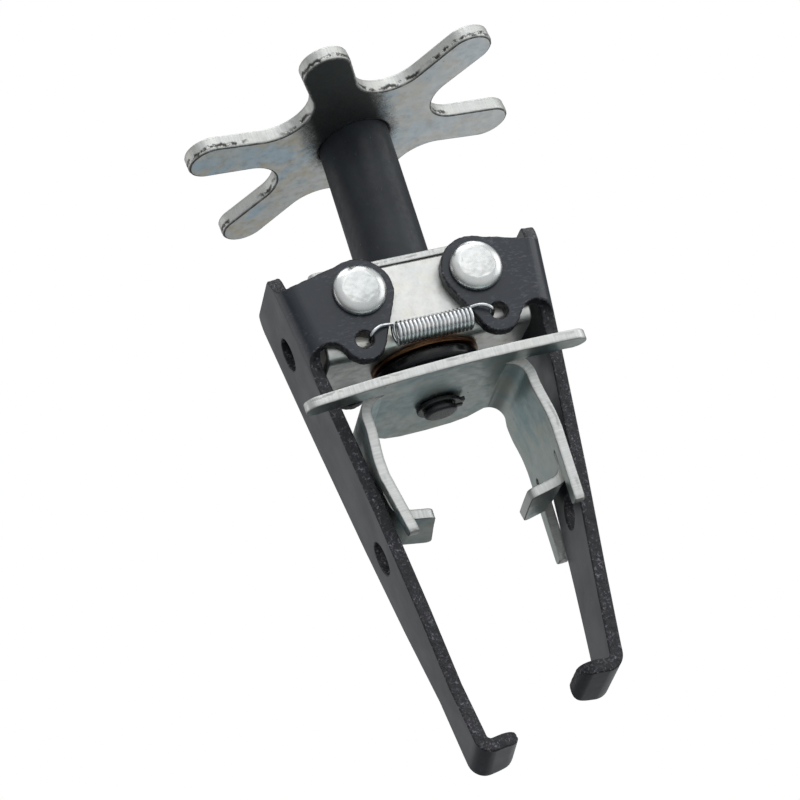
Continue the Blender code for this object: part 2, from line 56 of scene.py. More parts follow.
# levels along the spindle axis, and the sizes of the CAD pieces that the fine pieces stand for
STAR_Z, STAR_T = 184.6, 4.5
STAR_TILT, STAR_DROP = math.radians(4.8), math.radians(3.2)
STAR_FIRST = math.radians(-17.5)
LOBE_R = (51.6, 53.8, 53.8, 54.0, 54.5, 53.8)
LOBES, LOBE_END_R = len(LOBE_R), 7.3
VALLEY_R, VALLEY_ARC = 25.5, 11.5
TUBE_R, TUBE_BORE, WASHER_R = 11.0, 9.2, 15.9
THREAD_R, THREAD_PITCH, THREAD_DEPTH = 7.0, 2.0, 0.75
PLATE_TOP, PLATE_T, PLATE_X = 139.2, 2.1, 29.0
WEB_Z = 112.0
CHANNEL_T, CHANNEL_Y, CHANNEL_X, CHANNEL_R = 2.5, 15.0, 30.5, 4.0
PIVOT_X, PIVOT_Z = 17.4, 129.3
RIVET_R, HEAD_R, HEAD_H = 4.0, 7.75, 3.3
JAW_T, JAW_TOP_X, JAW_TOP_Z = 3.8, 40.5, 141.0
JAW_LEAN = {"left": math.radians(7.7), "right": math.radians(6.7)}
JAW_BEND_R, EAR_Y, EAR_R = 6.0, 19.1, 10.0
TAB_X, TAB_Z, TAB_R, TAB_HOLE_R = 20.0, 114.9, 6.2, 2.6
STRIP_HOLE_R, STRIP_HOLES = 4.8, (18.9, 84.3)
EAR_END, TIP_EDGE = 36.0, 3.6
HOOK_R, HOOK_LEN = 1.2, 7.6
HOOK_SEAT = {"left": 0.0, "right": 12.8}
HOOK_W, HOOK_SKEW = {"left": 8.4, "right": 9.6}, 3.4
TIP_WIDE, TIP_LONG, SKEW_RUN = 5.4, 6.0, 14.0
PUSHER_Z, PUSHER_T, PUSHER_R, PUSHER_X = 98.5, 3.0, 7.5, 25.8
PUSHER_SHIFT, DISH = -1.0, 0.9
PUSHER_ROLL, PUSHER_YAW = math.radians(1.5), math.radians(2.0)
LEG_LEAN = math.tan(math.radians(1.6))
BAR_X, BAR_FRONT, BAR_BACK = 41.1, -28.5, -20.4
LEG_FRONT, LEG_BACK = -19.2, 18.8
FINGER_FRONT, FINGER_BACK = -13.2, 10.4
FINGER_R, FINGER_BEND, FINGER_SKEW, TIP_R = 6.0, math.radians(79), 1.7, 2.0
FINGER_TURN = {-1: 31.2, 1: 33.0}
FINGER_REACH = {-1: 5.6, 1: 8.0}
FRONT_PRONG = {-1: 41.8, 1: 45.5}
BACK_PRONG = {-1: 51.0, 1: 53.0}
LEG_CLOSE = {-1: 0.145, 1: 0.07}
COIL_R, WIRE_R, COILS, COIL_HALF = 3.0, 0.5, 19, 11.2
SPRING_Y, SPRING_Z = 19.3, 114.4


# ---------------------------------------------------------------- mesh helpers
def arc(cx, cy, radius, start, end, count):
    """Points on a circle from start to end in degrees."""
    pts = []
    for i in range(count + 1):
        a = math.radians(start + (end - start) * i / count)
        pts.append((cx + radius * math.cos(a), cy + radius * math.sin(a)))
    return pts


def ring(cx, cy, radius, count=48):
    return arc(cx, cy, radius, 0, 360, count)[:-1]


def rounded_rectangle(half_x, half_y, radius):
    outline = []
    for x, y, start in ((1, 1, 0), (-1, 1, 90), (-1, -1, 180), (1, -1, 270)):
        outline += arc(x * (half_x - radius), y * (half_y - radius), radius, start, start + 90, 8)
    return outline


def smooth(t):
    """Eases from 0 to 1 as t goes from 0 to 1."""
    t = min(max(t, 0.0), 1.0)
    return t * t * (3 - 2 * t)


def inside(poly, x, y):
    """Whether a point lies within a loop."""
    hit = False
    for (x0, y0), (x1, y1) in zip(poly, poly[1:] + poly[:1]):
        if (y0 > y) != (y1 > y) and x < (x1 - x0) * (y - y0) / (y1 - y0) + x0:
            hit = not hit
    return hit


def resample(loop, step):
    """The same loop with a point at least every step."""
    out = []
    for (x0, y0), (x1, y1) in zip(loop, loop[1:] + loop[:1]):
        n = max(1, math.ceil(math.hypot(x1 - x0, y1 - y0) / step))
        out += [(x0 + (x1 - x0) * i / n, y0 + (y1 - y0) * i / n) for i in range(n)]
    return out


def offset(loop, amount):
    """Moves a loop inwards by amount (outwards for a hole given clockwise)."""
    area = sum(x0 * y1 - x1 * y0 for (x0, y0), (x1, y1) in zip(loop, loop[1:] + loop[:1]))
    sign = 1 if area > 0 else -1
    out = []
    for i, (x, y) in enumerate(loop):
        (px, py), (nx, ny) = loop[i - 1], loop[(i + 1) % len(loop)]
        a = Vector((x - px, y - py)).normalized()
        b = Vector((nx - x, ny - y)).normalized()
        n = Vector((-(a.y + b.y), a.x + b.x))
        if n.length < 1e-6:
            out.append((x, y))
            continue
        n.normalize()
        scale = min(1.0 / max(n.dot(Vector((-a.y, a.x))), 0.35), 1.6)
        out.append((x + sign * n.x * amount * scale, y + sign * n.y * amount * scale))
    return out


def sheet(outline, holes, lines, thick, place, radius=0.4, step=1.2, rough=0.0, wall_steps=3):
    """Solid sheet with rolled edges, cut from a flat pattern and folded by place(u, v, level).

    Material 0 covers the faces and 1 the cut walls. UV map 'cut' holds, on the walls, the
    distance along the cut in millimetres and the share of the thickness.
    """
    points, edges = [], []
    loops = [offset(resample(outline, step), radius)]
    loops += [offset(resample(h, step), -radius) for h in holes]
    for loop in loops:
        base = len(points)
        points += [Vector(p) for p in loop]
        edges += [(base + i, base + (i + 1) % len(loop)) for i in range(len(loop))]
    for (a, b) in lines:
        edges.append((len(points), len(points) + 1))
        points += [Vector(a), Vector(b)]
    verts, _, faces, _, _, _ = delaunay_2d_cdt(points, edges, [], 0, 1e-4)
    kept = []
    for face in faces:
        cx = sum(verts[i][0] for i in face) / len(face)
        cy = sum(verts[i][1] for i in face) / len(face)
        if inside(loops[0], cx, cy) and not any(inside(h, cx, cy) for h in loops[1:]):
            kept.append(tuple(face))
    border = {}
    for f in kept:
        for a, b in zip(f, f[1:] + f[:1]):
            border[(a, b)] = border.get((a, b), 0) + 1
    border = [e for e in border if (e[1], e[0]) not in border]
    after = dict(border)
    out = {}
    for a, b in border:
        d = Vector(verts[b]) - Vector(verts[a])
        n = Vector((d.y, -d.x)).normalized()
        for i in (a, b):
            out.setdefault(i, []).append(n)
    normal = {}
    for i, ns in out.items():
        n = sum(ns, Vector((0, 0))).normalized()
        normal[i] = n * min(1.0 / max(n.dot(ns[0]), 0.5), 1.6)

    # the profile of the cut wall: level and how far it stands out from the inset loop
    profile = []
    for i in range(4):
        a = math.radians(30 * i)
        profile.append((radius * (1 - math.cos(a)), radius * math.sin(a)))
    for i in range(1, wall_steps):
        profile.append((radius + (thick - 2 * radius) * i / wall_steps, radius))
    profile += [(thick - k, d) for k, d in reversed(profile[:4])]

    along = {}
    for start in after:
        if start in along:
            continue
        i, total = start, 0.0
        while i not in along:
            along[i] = total
            total += (Vector(verts[after[i]]) - Vector(verts[i])).length
            i = after[i]

    bm = bmesh.new()
    uv = bm.loops.layers.uv.new("cut")
    used = sorted({i for f in kept for i in f})
    low = {i: bm.verts.new(place(verts[i][0], verts[i][1], 0.0)) for i in used}
    high = {i: bm.verts.new(place(verts[i][0], verts[i][1], thick)) for i in used}
    rings = []
    for n, (k, d) in enumerate(profile):
        if n == 0:
            rings.append({i: low[i] for i in after})
            continue
        if n == len(profile) - 1:
            rings.append({i: high[i] for i in after})
            continue
        row = {}
        for i in after:
            p = Vector(verts[i]) + normal[i] * d
            if rough and radius * 0.4 < k < thick - radius * 0.4:
                q = Vector((p.x * 0.9, p.y * 0.9, k * 0.9))
                p += normal[i].normalized() * rough * (noise.noise(q) + 0.6 * noise.noise(q * 2.7))
            row[i] = bm.verts.new(place(p.x, p.y, k))
        rings.append(row)
    for f in kept:
        bm.faces.new([low[i] for i in f])
        bm.faces.new([high[i] for i in reversed(f)])
    for n in range(len(rings) - 1):
        for a, b in border:
            face = bm.faces.new([rings[n][b], rings[n][a], rings[n + 1][a], rings[n + 1][b]])
            face.material_index = 1
            ua = along[a]
            ub = ua + (Vector(verts[b]) - Vector(verts[a])).length
            k0, k1 = profile[n][0] / thick, profile[n + 1][0] / thick
            for loop, value in zip(face.loops, ((ub, k0), (ua, k0), (ua, k1), (ub, k1))):
                loop[uv].uv = value
    return bm


def revolve(profile, segments=96, radius_at=None):
    """Ring or plug turned from (radius, z) points; radius 0 closes on the axis."""
    bm = bmesh.new()
    rows = []
    for radius, z in profile:
        if radius < 1e-6:
            rows.append([bm.verts.new((0, 0, z))])
            continue
        row = []
        for i in range(segments):
            a = 2 * math.pi * i / segments
            r = radius_at(radius, z, a) if radius_at else radius
            row.append(bm.verts.new((r * math.cos(a), r * math.sin(a), z)))
        rows.append(row)
    for r0, r1 in zip(rows, rows[1:] + rows[:1]):
        if len(r0) == 1 and len(r1) == 1:
            continue
        for i in range(segments):
            j = (i + 1) % segments
            if len(r0) == 1:
                bm.faces.new([r0[0], r1[i], r1[j]])
            elif len(r1) == 1:
                bm.faces.new([r0[i], r1[0], r0[j]])
            else:
                bm.faces.new([r0[i], r1[i], r1[j], r0[j]])
    return bm


def sweep(path, radius, sides=12):
    """Round wire along points, closed at both ends; radius may be a number or one per point."""
    bm = bmesh.new()
    path = [Vector(p) for p in path]
    radii = radius if isinstance(radius, list) else [radius] * len(path)
    loops = []
    normal = Vector((0, 0, 1))
    for i, p in enumerate(path):
        tangent = (path[min(i + 1, len(path) - 1)] - path[max(i - 1, 0)]).normalized()
        normal = (normal - tangent * normal.dot(tangent)).normalized()
        side = tangent.cross(normal)
        loops.append([bm.verts.new(p + (normal * math.cos(2 * math.pi * k / sides)
                                        + side * math.sin(2 * math.pi * k / sides)) * radii[i])
                      for k in range(sides)])
    for a, b in zip(loops, loops[1:]):
        for k in range(sides):
            bm.faces.new([a[k], a[(k + 1) % sides], b[(k + 1) % sides], b[k]])
    bm.faces.new(list(reversed(loops[0])))
    bm.faces.new(loops[-1])
    return bm


def finish_piece(name, bm, materials, body, node, sharp=38):
    """Turns a bmesh in millimetres into a smooth-shaded piece that stands for a CAD node."""
    bmesh.ops.remove_doubles(bm, verts=bm.verts, dist=1e-4)
    bmesh.ops.recalc_face_normals(bm, faces=bm.faces)
    if bm.calc_volume(signed=True) < 0:
        bmesh.ops.reverse_faces(bm, faces=bm.faces)
    bmesh.ops.transform(bm, matrix=Matrix.Scale(MM, 4), verts=bm.verts)
    mesh = bpy.data.meshes.new(name)
    bm.to_mesh(mesh)
    bm.free()
    for m in materials:
        mesh.materials.append(m)
    mesh.shade_smooth()
    mesh.set_sharp_from_angle(angle=math.radians(sharp))
    obj = bpy.data.objects.new(name, mesh)
    bpy.context.scene.collection.objects.link(obj)
    weighted = obj.modifiers.new("face_weight", 'WEIGHTED_NORMAL')
    weighted.keep_sharp = True
    weighted.weight = 60
    if body:
        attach(obj, body)
    if node:
        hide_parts(node)
    return obj


# ---------------------------------------------------------------- materials
class Nodes:
    """Short calls for building one procedural material."""

    def __init__(self, name):
        self.material = bpy.data.materials.new(name)
        self.material.use_nodes = True
        self.tree = self.material.node_tree
        self.tree.nodes.clear()
        self.out = self.tree.nodes.new("ShaderNodeOutputMaterial")
        self.shader = self.tree.nodes.new("ShaderNodeBsdfPrincipled")
        self.tree.links.new(self.shader.outputs[0], self.out.inputs["Surface"])
        self.coord = self.tree.nodes.new("ShaderNodeTexCoord").outputs["Object"]

    def link(self, a, b):
        self.tree.links.new(a, b)

    def put(self, socket, value):
        if isinstance(value, bpy.types.NodeSocket):
            self.link(value, socket)
        else:
            socket.default_value = value

    def node(self, kind, **inputs):
        """Adds a shader node; each input is a socket to link or a constant."""
        n = self.tree.nodes.new("ShaderNode" + kind)
        for name, value in inputs.items():
            self.put(n.inputs[name.replace("_", " ")], value)
        return n

    def noise(self, size_mm, detail=4.0, rough=0.55, vector=None, stretch=None, distortion=0.0):
        """Noise whose features are about size_mm across; returns its factor."""
        vec = vector or self.coord
        if stretch:
            vec = self.scaled(vec, stretch)
        n = self.node("TexNoise", Vector=vec, Scale=1.0 / (size_mm * MM), Detail=detail,
                      Roughness=rough, Distortion=distortion)
        return n.outputs["Fac"]

    def voronoi(self, size_mm, feature='F1'):
        """Cells about size_mm across; returns the distance to the nearest centre."""
        n = self.node("TexVoronoi", Vector=self.coord, Scale=1.0 / (size_mm * MM))
        n.feature = feature
        return n.outputs["Distance"]

    def specks(self, size_mm, low, high, patch_mm, patch_low, patch_high):
        """Small round spots that lie only in some patches."""
        spots = self.ramp(self.voronoi(size_mm), low, high, 1.0, 0.0)
        return self.math('MULTIPLY', spots, self.ramp(self.noise(patch_mm, 2), patch_low, patch_high))

    def scaled(self, vector, scale):
        n = self.tree.nodes.new("ShaderNodeVectorMath")
        n.operation = 'MULTIPLY'
        self.link(vector, n.inputs[0])
        n.inputs[1].default_value = scale
        return n.outputs[0]

    def math(self, op, a, b=0.0, clamp=False):
        n = self.tree.nodes.new("ShaderNodeMath")
        n.operation = op
        n.use_clamp = clamp
        self.put(n.inputs[0], a)
        self.put(n.inputs[1], b)
        return n.outputs[0]

    def ramp(self, fac, low, high, out_low=0.0, out_high=1.0, kind='SMOOTHSTEP'):
        n = self.node("MapRange", Value=fac, From_Min=low, From_Max=high, To_Min=out_low, To_Max=out_high)
        n.interpolation_type = kind
        return n.outputs[0]

    def mix(self, fac, a, b):
        n = self.tree.nodes.new("ShaderNodeMix")
        n.data_type = 'RGBA'
        self.put(n.inputs[0], fac)
        self.put(n.inputs[6], a if isinstance(a, bpy.types.NodeSocket) else (*a, 1.0))
        self.put(n.inputs[7], b if isinstance(b, bpy.types.NodeSocket) else (*b, 1.0))
        return n.outputs[2]

    def bump(self, height, strength, distance_mm, after=None):
        n = self.node("Bump", Strength=strength, Distance=distance_mm * MM, Height=height)
        if after:
            self.link(after, n.inputs["Normal"])
        return n.outputs[0]

    def separate(self, vector):
        return self.node("SeparateXYZ", Vector=vector).outputs

    def cut_uv(self):
        n = self.node("UVMap")
        n.uv_map = "cut"
        return n.outputs[0]

    def set(self, **values):
        names = {"color": "Base Color", "rough": "Roughness", "metal": "Metallic", "normal": "Normal",
                 "specular": "Specular IOR Level"}
        for key, value in values.items():
            if key == "color" and not isinstance(value, bpy.types.NodeSocket):
                value = (*value, 1.0)
            self.put(self.shader.inputs[names[key]], value)
        return self.material


def zinc_face(name, tint=(0.70, 0.71, 0.70), cool=(0.56, 0.64, 0.67), warm=(0.70, 0.67, 0.59),
              cool_amount=0.5):
    """Passivated zinc plating on rolled sheet: cool and warm clouds, specks, faint roller marks."""
    m = Nodes(name)
    clouds = m.noise(16, 3, 0.5, distortion=0.6)
    patches = m.noise(9, 3, 0.6, vector=m.scaled(m.coord, (1.0, 1.0, 1.7)))
    color = m.mix(m.ramp(clouds, 0.44, 0.68, 0.0, cool_amount), tint, cool)
    color = m.mix(m.ramp(patches, 0.5, 0.72, 0.0, 0.55), color, warm)
    fine = m.noise(0.8, 5, 0.65)
    color = m.mix(m.ramp(fine, 0.35, 0.75, 0.0, 0.22), color, (0.50, 0.50, 0.49))
    mottling = m.noise(2.6, 6, 0.7)
    color = m.mix(m.ramp(mottling, 0.55, 0.75, 0.0, 0.25), color, (0.45, 0.44, 0.42))
    spots = m.specks(5.5, 0.035, 0.07, 11, 0.5, 0.56)
    color = m.mix(spots, color, (0.13, 0.11, 0.10))
    rough = m.math('ADD', m.ramp(mottling, 0.3, 0.7, 0.30, 0.46), m.ramp(clouds, 0.3, 0.7, -0.03, 0.05))
    normal = m.bump(fine, 0.16, 0.05)
    normal = m.bump(m.noise(5, 3), 0.25, 0.16, normal)
    normal = m.bump(spots, 0.5, -0.06, normal)
    return m.set(color=color, rough=rough, metal=0.92, normal=normal)


def zinc_cut(name, base=(0.74, 0.75, 0.74), burr=0.22, burr_amount=0.85, tips=None):
    """Sheared edge of the zinc sheet: a bright rolled zone and a torn zone with dark burr marks.

    burr is the share of the thickness at which the marks lie; near the radius tips they are denser.
    """
    m = Nodes(name)
    u, v, _ = m.separate(m.cut_uv())
    flat = m.node("CombineXYZ", X=m.math('MULTIPLY', u, MM), Y=m.math('MULTIPLY', v, 0.6 * MM))
    streak = m.noise(0.7, 5, 0.7, vector=m.scaled(flat.outputs[0], (1.0, 0.35, 1.0)))
    wander = m.noise(4.0, 4, 0.65, vector=flat.outputs[0])
    patch = m.noise(13.0, 2, 0.5)
    line = m.math('ADD', v, m.ramp(wander, 0.3, 0.7, -0.16, 0.16, 'LINEAR'))
    near = m.math('ABSOLUTE', m.math('SUBTRACT', line, burr))
    torn = m.noise(2.2, 3, 0.55)
    marks = m.math('MULTIPLY', m.ramp(near, 0.04, 0.20, 1.0, 0.0), m.ramp(torn, 0.40, 0.54))
    if tips:
        x, y, _ = m.separate(m.coord)
        out = m.math('SQRT', m.math('ADD', m.math('MULTIPLY', x, x), m.math('MULTIPLY', y, y)))
        patch = m.math('ADD', m.ramp(out, tips * MM - 0.012, tips * MM, 0.0, 0.16), patch)
    marks = m.math('MULTIPLY', marks, m.ramp(patch, 0.50, 0.60))
    marks = m.math('MULTIPLY', marks, burr_amount)
    color = m.mix(m.ramp(streak, 0.30, 0.70, 0.0, 0.55), base, (0.50, 0.51, 0.50))
    color = m.mix(m.ramp(m.noise(6, 3), 0.5, 0.75, 0.0, 0.3), color, (0.72, 0.70, 0.62))
    top = m.ramp(v, 0.72, 1.0, 0.0, 0.8)
    color = m.mix(top, color, (0.36, 0.37, 0.35))
    color = m.mix(marks, color, (0.07, 0.07, 0.065))
    lip = m.math('MULTIPLY', m.ramp(v, 0.0, 0.10, 1.0, 0.0), m.ramp(wander, 0.36, 0.52, 0.35, 0.9))
    color = m.mix(lip, color, (0.10, 0.10, 0.095))
    rough = m.ramp(streak, 0.3, 0.7, 0.42, 0.58)
    normal = m.bump(streak, 0.35, 0.12)
    normal = m.bump(torn, 0.45, 0.2, normal)
    normal = m.bump(marks, 0.8, -0.25, normal)
    return m.set(color=color, rough=rough, metal=0.92, normal=normal)


def black_face(name, tint=(0.017, 0.019, 0.023), rough=0.34, dust=0.25):
    """Black paint over the smooth faces: slight orange peel, rubbed streaks and dust specks."""
    m = Nodes(name)
    peel = m.noise(1.2, 3, 0.5)
    clouds = m.noise(14, 4, 0.6)
    rub = m.noise(0.8, 6, 0.8, stretch=(0.35, 1.0, 1.0))
    rub = m.math('MULTIPLY', m.ramp(rub, 0.50, 0.72), m.ramp(clouds, 0.42, 0.60))
    color = m.mix(m.math('MULTIPLY', rub, dust), tint, (0.14, 0.15, 0.18))
    specks = m.specks(3.6, 0.03, 0.06, 7, 0.5, 0.58)
    color = m.mix(m.math('MULTIPLY', specks, 0.5), color, (0.004, 0.004, 0.004))
    roughness = m.math('ADD', m.ramp(clouds, 0.3, 0.7, rough - 0.05, rough + 0.05),
                       m.math('MULTIPLY', rub, 0.18))
    normal = m.bump(peel, 0.25, 0.08)
    normal = m.bump(m.noise(6, 3), 0.3, 0.22, normal)
    normal = m.bump(specks, 0.6, -0.06, normal)
    return m.set(color=color, rough=roughness, metal=0.0, normal=normal)


def black_cut(name):
    """Paint over the torn, pitted edge of the jaw strip, with painted glints: small grains lighten its
    colour.
    """
    m = Nodes(name)
    grains_and_glints = m.noise(0.75, 6, 0.72, distortion=0.3)
    pits = m.voronoi(1.5, 'SMOOTH_F1')
    glint_patches = m.noise(2.2, 5, 0.7)
    # painted glints: where the grains meet the patches the colour turns pale, standing in for sparkles of
    # light on the torn edge
    painted_glints = m.math('MULTIPLY', m.ramp(grains_and_glints, 0.50, 0.66), m.ramp(glint_patches, 0.42, 0.58))
    color = m.mix(painted_glints, (0.008, 0.009, 0.013), (0.22, 0.21, 0.25))
    rough = m.ramp(grains_and_glints, 0.3, 0.7, 0.32, 0.55)
    normal = m.bump(grains_and_glints, 0.9, 0.35)
    normal = m.bump(pits, 0.7, 0.35, normal)
    return m.set(color=color, rough=rough, metal=0.0, normal=normal)


def tube_paint(name):
    """Satin black on the tube, with dust specks and a few pale scuffs."""
    m = Nodes(name)
    clouds = m.noise(12, 4, 0.6)
    color = m.mix(m.ramp(clouds, 0.35, 0.7), (0.014, 0.018, 0.023), (0.024, 0.029, 0.036))
    dots = m.specks(2.4, 0.05, 0.09, 6, 0.52, 0.62)
    scuff = m.math('MULTIPLY', m.ramp(m.noise(0.9, 5, 0.7, stretch=(1, 1, 0.35)), 0.60, 0.72),
                   m.ramp(m.noise(9, 2), 0.56, 0.66))
    color = m.mix(m.math('MULTIPLY', dots, 0.45), color, (0.16, 0.17, 0.18))
    color = m.mix(m.math('MULTIPLY', scuff, 0.35), color, (0.18, 0.18, 0.18))
    rough = m.ramp(m.noise(2, 4), 0.3, 0.7, 0.40, 0.52)
    normal = m.bump(m.noise(0.6, 3), 0.12, 0.05)
    return m.set(color=color, rough=rough, metal=0.0, normal=normal, specular=0.42)


def plain_metal(name, color_a, color_b, rough_low, rough_high, metal, bump=0.12, size=2.0, specular=0.5):
    """Metal or oxide finish with cloudy colour, uneven roughness and a fine grain."""
    m = Nodes(name)
    clouds = m.noise(size * 3, 4, 0.6)
    grain = m.noise(size * 0.3, 5, 0.65)
    color = m.mix(m.ramp(clouds, 0.35, 0.68), color_a, color_b)
    rough = m.ramp(grain, 0.3, 0.7, rough_low, rough_high)
    normal = m.bump(grain, bump, 0.05)
    return m.set(color=color, rough=rough, metal=metal, normal=normal, specular=specular)


def star_under(name):
    """Underside of the star: zinc, with black paint blown over the hub and one lobe, and a painted
    highlight that lightens it towards the right.
    """
    m = Nodes(name)
    clouds = m.noise(15, 3, 0.5, distortion=0.6)
    color = m.mix(m.ramp(clouds, 0.44, 0.60, 0.0, 0.9), (0.78, 0.80, 0.77), (0.60, 0.75, 0.84))
    color = m.mix(m.ramp(m.noise(8, 3, 0.6), 0.48, 0.66, 0.0, 0.75), color, (0.76, 0.69, 0.55))
    mottling = m.noise(2.4, 6, 0.7)
    color = m.mix(m.ramp(mottling, 0.52, 0.74, 0.0, 0.35), color, (0.46, 0.45, 0.42))
    specks = m.specks(4.2, 0.04, 0.08, 9, 0.5, 0.56)
    color = m.mix(specks, color, (0.05, 0.045, 0.04))
    x, y, _ = m.separate(m.coord)
    # painted highlight: the zinc colour lightens towards +X, standing in for the brighter reflection on the
    # right lobes
    color = m.mix(m.ramp(x, -0.02, 0.045, 0.0, 0.65), color, (0.98, 1.0, 1.0))
    lobe = STAR_FIRST - math.pi / 2
    ex, ey = math.cos(lobe), math.sin(lobe)
    along = m.math('ADD', m.math('MULTIPLY', x, ex), m.math('MULTIPLY', y, ey))
    across = m.math('SUBTRACT', m.math('MULTIPLY', x, ey), m.math('MULTIPLY', y, ex))
    before = m.math('MINIMUM', along, 0.0)
    apart = m.math('SQRT', m.math('ADD', m.math('MULTIPLY', before, before),
                                  m.math('MULTIPLY', across, across)))
    apart = m.math('ADD', apart, m.ramp(m.noise(2.2, 6, 0.75), 0.3, 0.7, -0.0011, 0.0011, 'LINEAR'))
    paint = m.ramp(apart, 0.0085, 0.0160, 1.0, 0.0)
    speckle = m.ramp(m.noise(0.35, 3, 0.8), 0.35, 0.65, -0.35, 0.35, 'LINEAR')
    edge = m.math('MULTIPLY', m.math('MULTIPLY', paint, m.math('SUBTRACT', 1.0, paint)), 4.0)
    paint = m.math('ADD', paint, m.math('MULTIPLY', edge, speckle), clamp=True)
    paint = m.math('MULTIPLY', paint, m.ramp(along, 0.0515, 0.0525, 1.0, 0.0))
    grit = m.ramp(m.noise(0.5, 4, 0.7), 0.4, 0.75, 0.0, 1.0)
    dusty = m.ramp(along, 0.010, 0.045)
    black = m.mix(grit, (0.016, 0.019, 0.020), (0.036, 0.040, 0.042))
    black = m.mix(m.math('MULTIPLY', dusty, 0.6), black, (0.060, 0.070, 0.068))
    dots = m.specks(2.2, 0.05, 0.1, 5, 0.5, 0.6)
    black = m.mix(m.math('MULTIPLY', dots, 0.5), black, (0.2, 0.2, 0.2))
    color = m.mix(paint, color, black)
    metal = m.math('MULTIPLY', m.math('SUBTRACT', 1.0, paint), 0.92)
    rough = m.math('ADD', m.ramp(mottling, 0.3, 0.7, 0.34, 0.50), m.math('MULTIPLY', paint, 0.12))
    normal = m.bump(m.noise(0.8, 5, 0.65), 0.16, 0.05)
    normal = m.bump(m.noise(5, 3), 0.25, 0.16, normal)
    return m.set(color=color, rough=rough, metal=metal, normal=normal)


MAT = {
    "zinc": zinc_face("zinc_face"),
    "zinc_cut": zinc_cut("zinc_cut"),
    "star_under": star_under("star_under"),
    "star_cut": zinc_cut("star_cut", base=(0.66, 0.67, 0.65), burr=0.24, burr_amount=1.0,
                         tips=LOBE_R[0]),
    "plate_cut": zinc_cut("plate_cut", burr=0.5, burr_amount=0.35),
    "pusher": zinc_face("zinc_pusher", tint=(0.40, 0.46, 0.44), cool=(0.24, 0.37, 0.40),
                        warm=(0.44, 0.46, 0.38), cool_amount=0.8),
    "pusher_cut": zinc_cut("pusher_cut", base=(0.70, 0.71, 0.70), burr=0.3, burr_amount=0.3),
    "channel": zinc_face("zinc_channel", tint=(0.74, 0.74, 0.72), cool=(0.62, 0.67, 0.69),
                         warm=(0.76, 0.73, 0.63), cool_amount=0.35),
    "black": black_face("black_paint", tint=(0.019, 0.024, 0.034), rough=0.33, dust=0.8),
    "black_cut": black_cut("black_paint_on_cut"),
    "tube": tube_paint("tube_paint"),
    "gloss": plain_metal("gloss_black", (0.006, 0.006, 0.007), (0.012, 0.012, 0.013), 0.16, 0.28, 0.0,
                         specular=0.35),
    "oxide": plain_metal("black_oxide", (0.010, 0.010, 0.012), (0.030, 0.030, 0.034), 0.22, 0.40, 0.0),
    "bronze": plain_metal("dull_bronze", (0.20, 0.09, 0.045), (0.34, 0.18, 0.09), 0.30, 0.50, 0.9),
    "rivet": plain_metal("rivet_steel", (0.70, 0.71, 0.70), (0.58, 0.60, 0.60), 0.22, 0.34, 1.0, 0.07, 4.0),
    "spring": plain_metal("spring_wire", (0.74, 0.75, 0.76), (0.60, 0.62, 0.64), 0.14, 0.26, 1.0),
    "steel": plain_metal("turned_steel", (0.40, 0.40, 0.40), (0.28, 0.28, 0.29), 0.25, 0.42, 1.0),
    "weld": plain_metal("weld_bead", (0.38, 0.37, 0.35), (0.20, 0.20, 0.21), 0.30, 0.55, 0.9, 0.5, 1.2),
}


# ---------------------------------------------------------------- pieces
def tilt_with_star(bm):
    """Leans a mesh as the star is welded: up on the right and down at the rear."""
    turn = (Matrix.Translation((0, 0, STAR_Z)) @ Matrix.Rotation(-STAR_DROP, 4, 'X')
            @ Matrix.Rotation(-STAR_TILT, 4, 'Y') @ Matrix.Translation((0, 0, -STAR_Z)))
    bmesh.ops.transform(bm, matrix=turn, verts=bm.verts)


def make_star():
    outline = []
    for k in range(LOBES):
        mid = STAR_FIRST + k * 2 * math.pi / LOBES - math.pi / 2
        valley = mid + math.pi / LOBES
        ex, ey = math.cos(mid), math.sin(mid)
        centre = LOBE_R[k] - LOBE_END_R
        start = math.degrees(mid)
        outline += arc(ex * centre, ey * centre, LOBE_END_R, start - 86, start + 86, 20)
        vx, vy = math.cos(valley), math.sin(valley)
        far = VALLEY_R + VALLEY_ARC
        back = math.degrees(valley) + 180
        outline += arc(vx * far, vy * far, VALLEY_ARC, back + 58, back - 58, 18)
    bm = sheet(outline, [ring(0, 0, TUBE_R + 0.25, 72)], [], STAR_T,
               lambda u, v, k: (u, v, STAR_Z + k), radius=0.7, step=1.0, rough=0.10, wall_steps=4)
    bm.faces.ensure_lookup_table()
    for f in bm.faces:
        if f.material_index == 0 and f.calc_center_median().z < STAR_Z + 0.1:
            f.material_index = 2
    tilt_with_star(bm)
    finish_piece("star_plate", bm, [MAT["zinc"], MAT["star_cut"], MAT["star_under"]],
                 "handle", "star_handle")

    # weld bead on top of the star, laid in overlapping ripples
    inner, top = TUBE_R + 0.1, STAR_Z + STAR_T + 0.05
    steps, sides = 360, 10
    bm = bmesh.new()
    rows = []
    for i in range(steps):
        a = 2 * math.pi * i / steps
        ripple = abs(math.sin(a * 22 + 0.6 * math.sin(a * 3)))
        wide = 3.3 + 0.35 * noise.noise(Vector((math.cos(a), math.sin(a), 0)) * 2.3)
        row = []
        for j in range(sides):
            t = math.pi * j / (sides - 1)
            r = inner + wide * (0.5 - 0.5 * math.cos(t)) * (0.94 + 0.06 * ripple)
            z = top + (1.7 + 0.35 * ripple) * math.sin(t) ** 0.8 * (1.2 - 0.35 * (0.5 - 0.5 * math.cos(t)))
            row.append(bm.verts.new((r * math.cos(a), r * math.sin(a), z)))
        rows.append(row)
    for i in range(steps):
        a, b = rows[i], rows[(i + 1) % steps]
        for j in range(sides - 1):
            bm.faces.new([a[j], a[j + 1], b[j + 1], b[j]])
        bm.faces.new([a[-1], a[0], b[0], b[-1]])
    tilt_with_star(bm)
    finish_piece("weld_bead", bm, [MAT["weld"]], "handle", "handle_weld", 60)


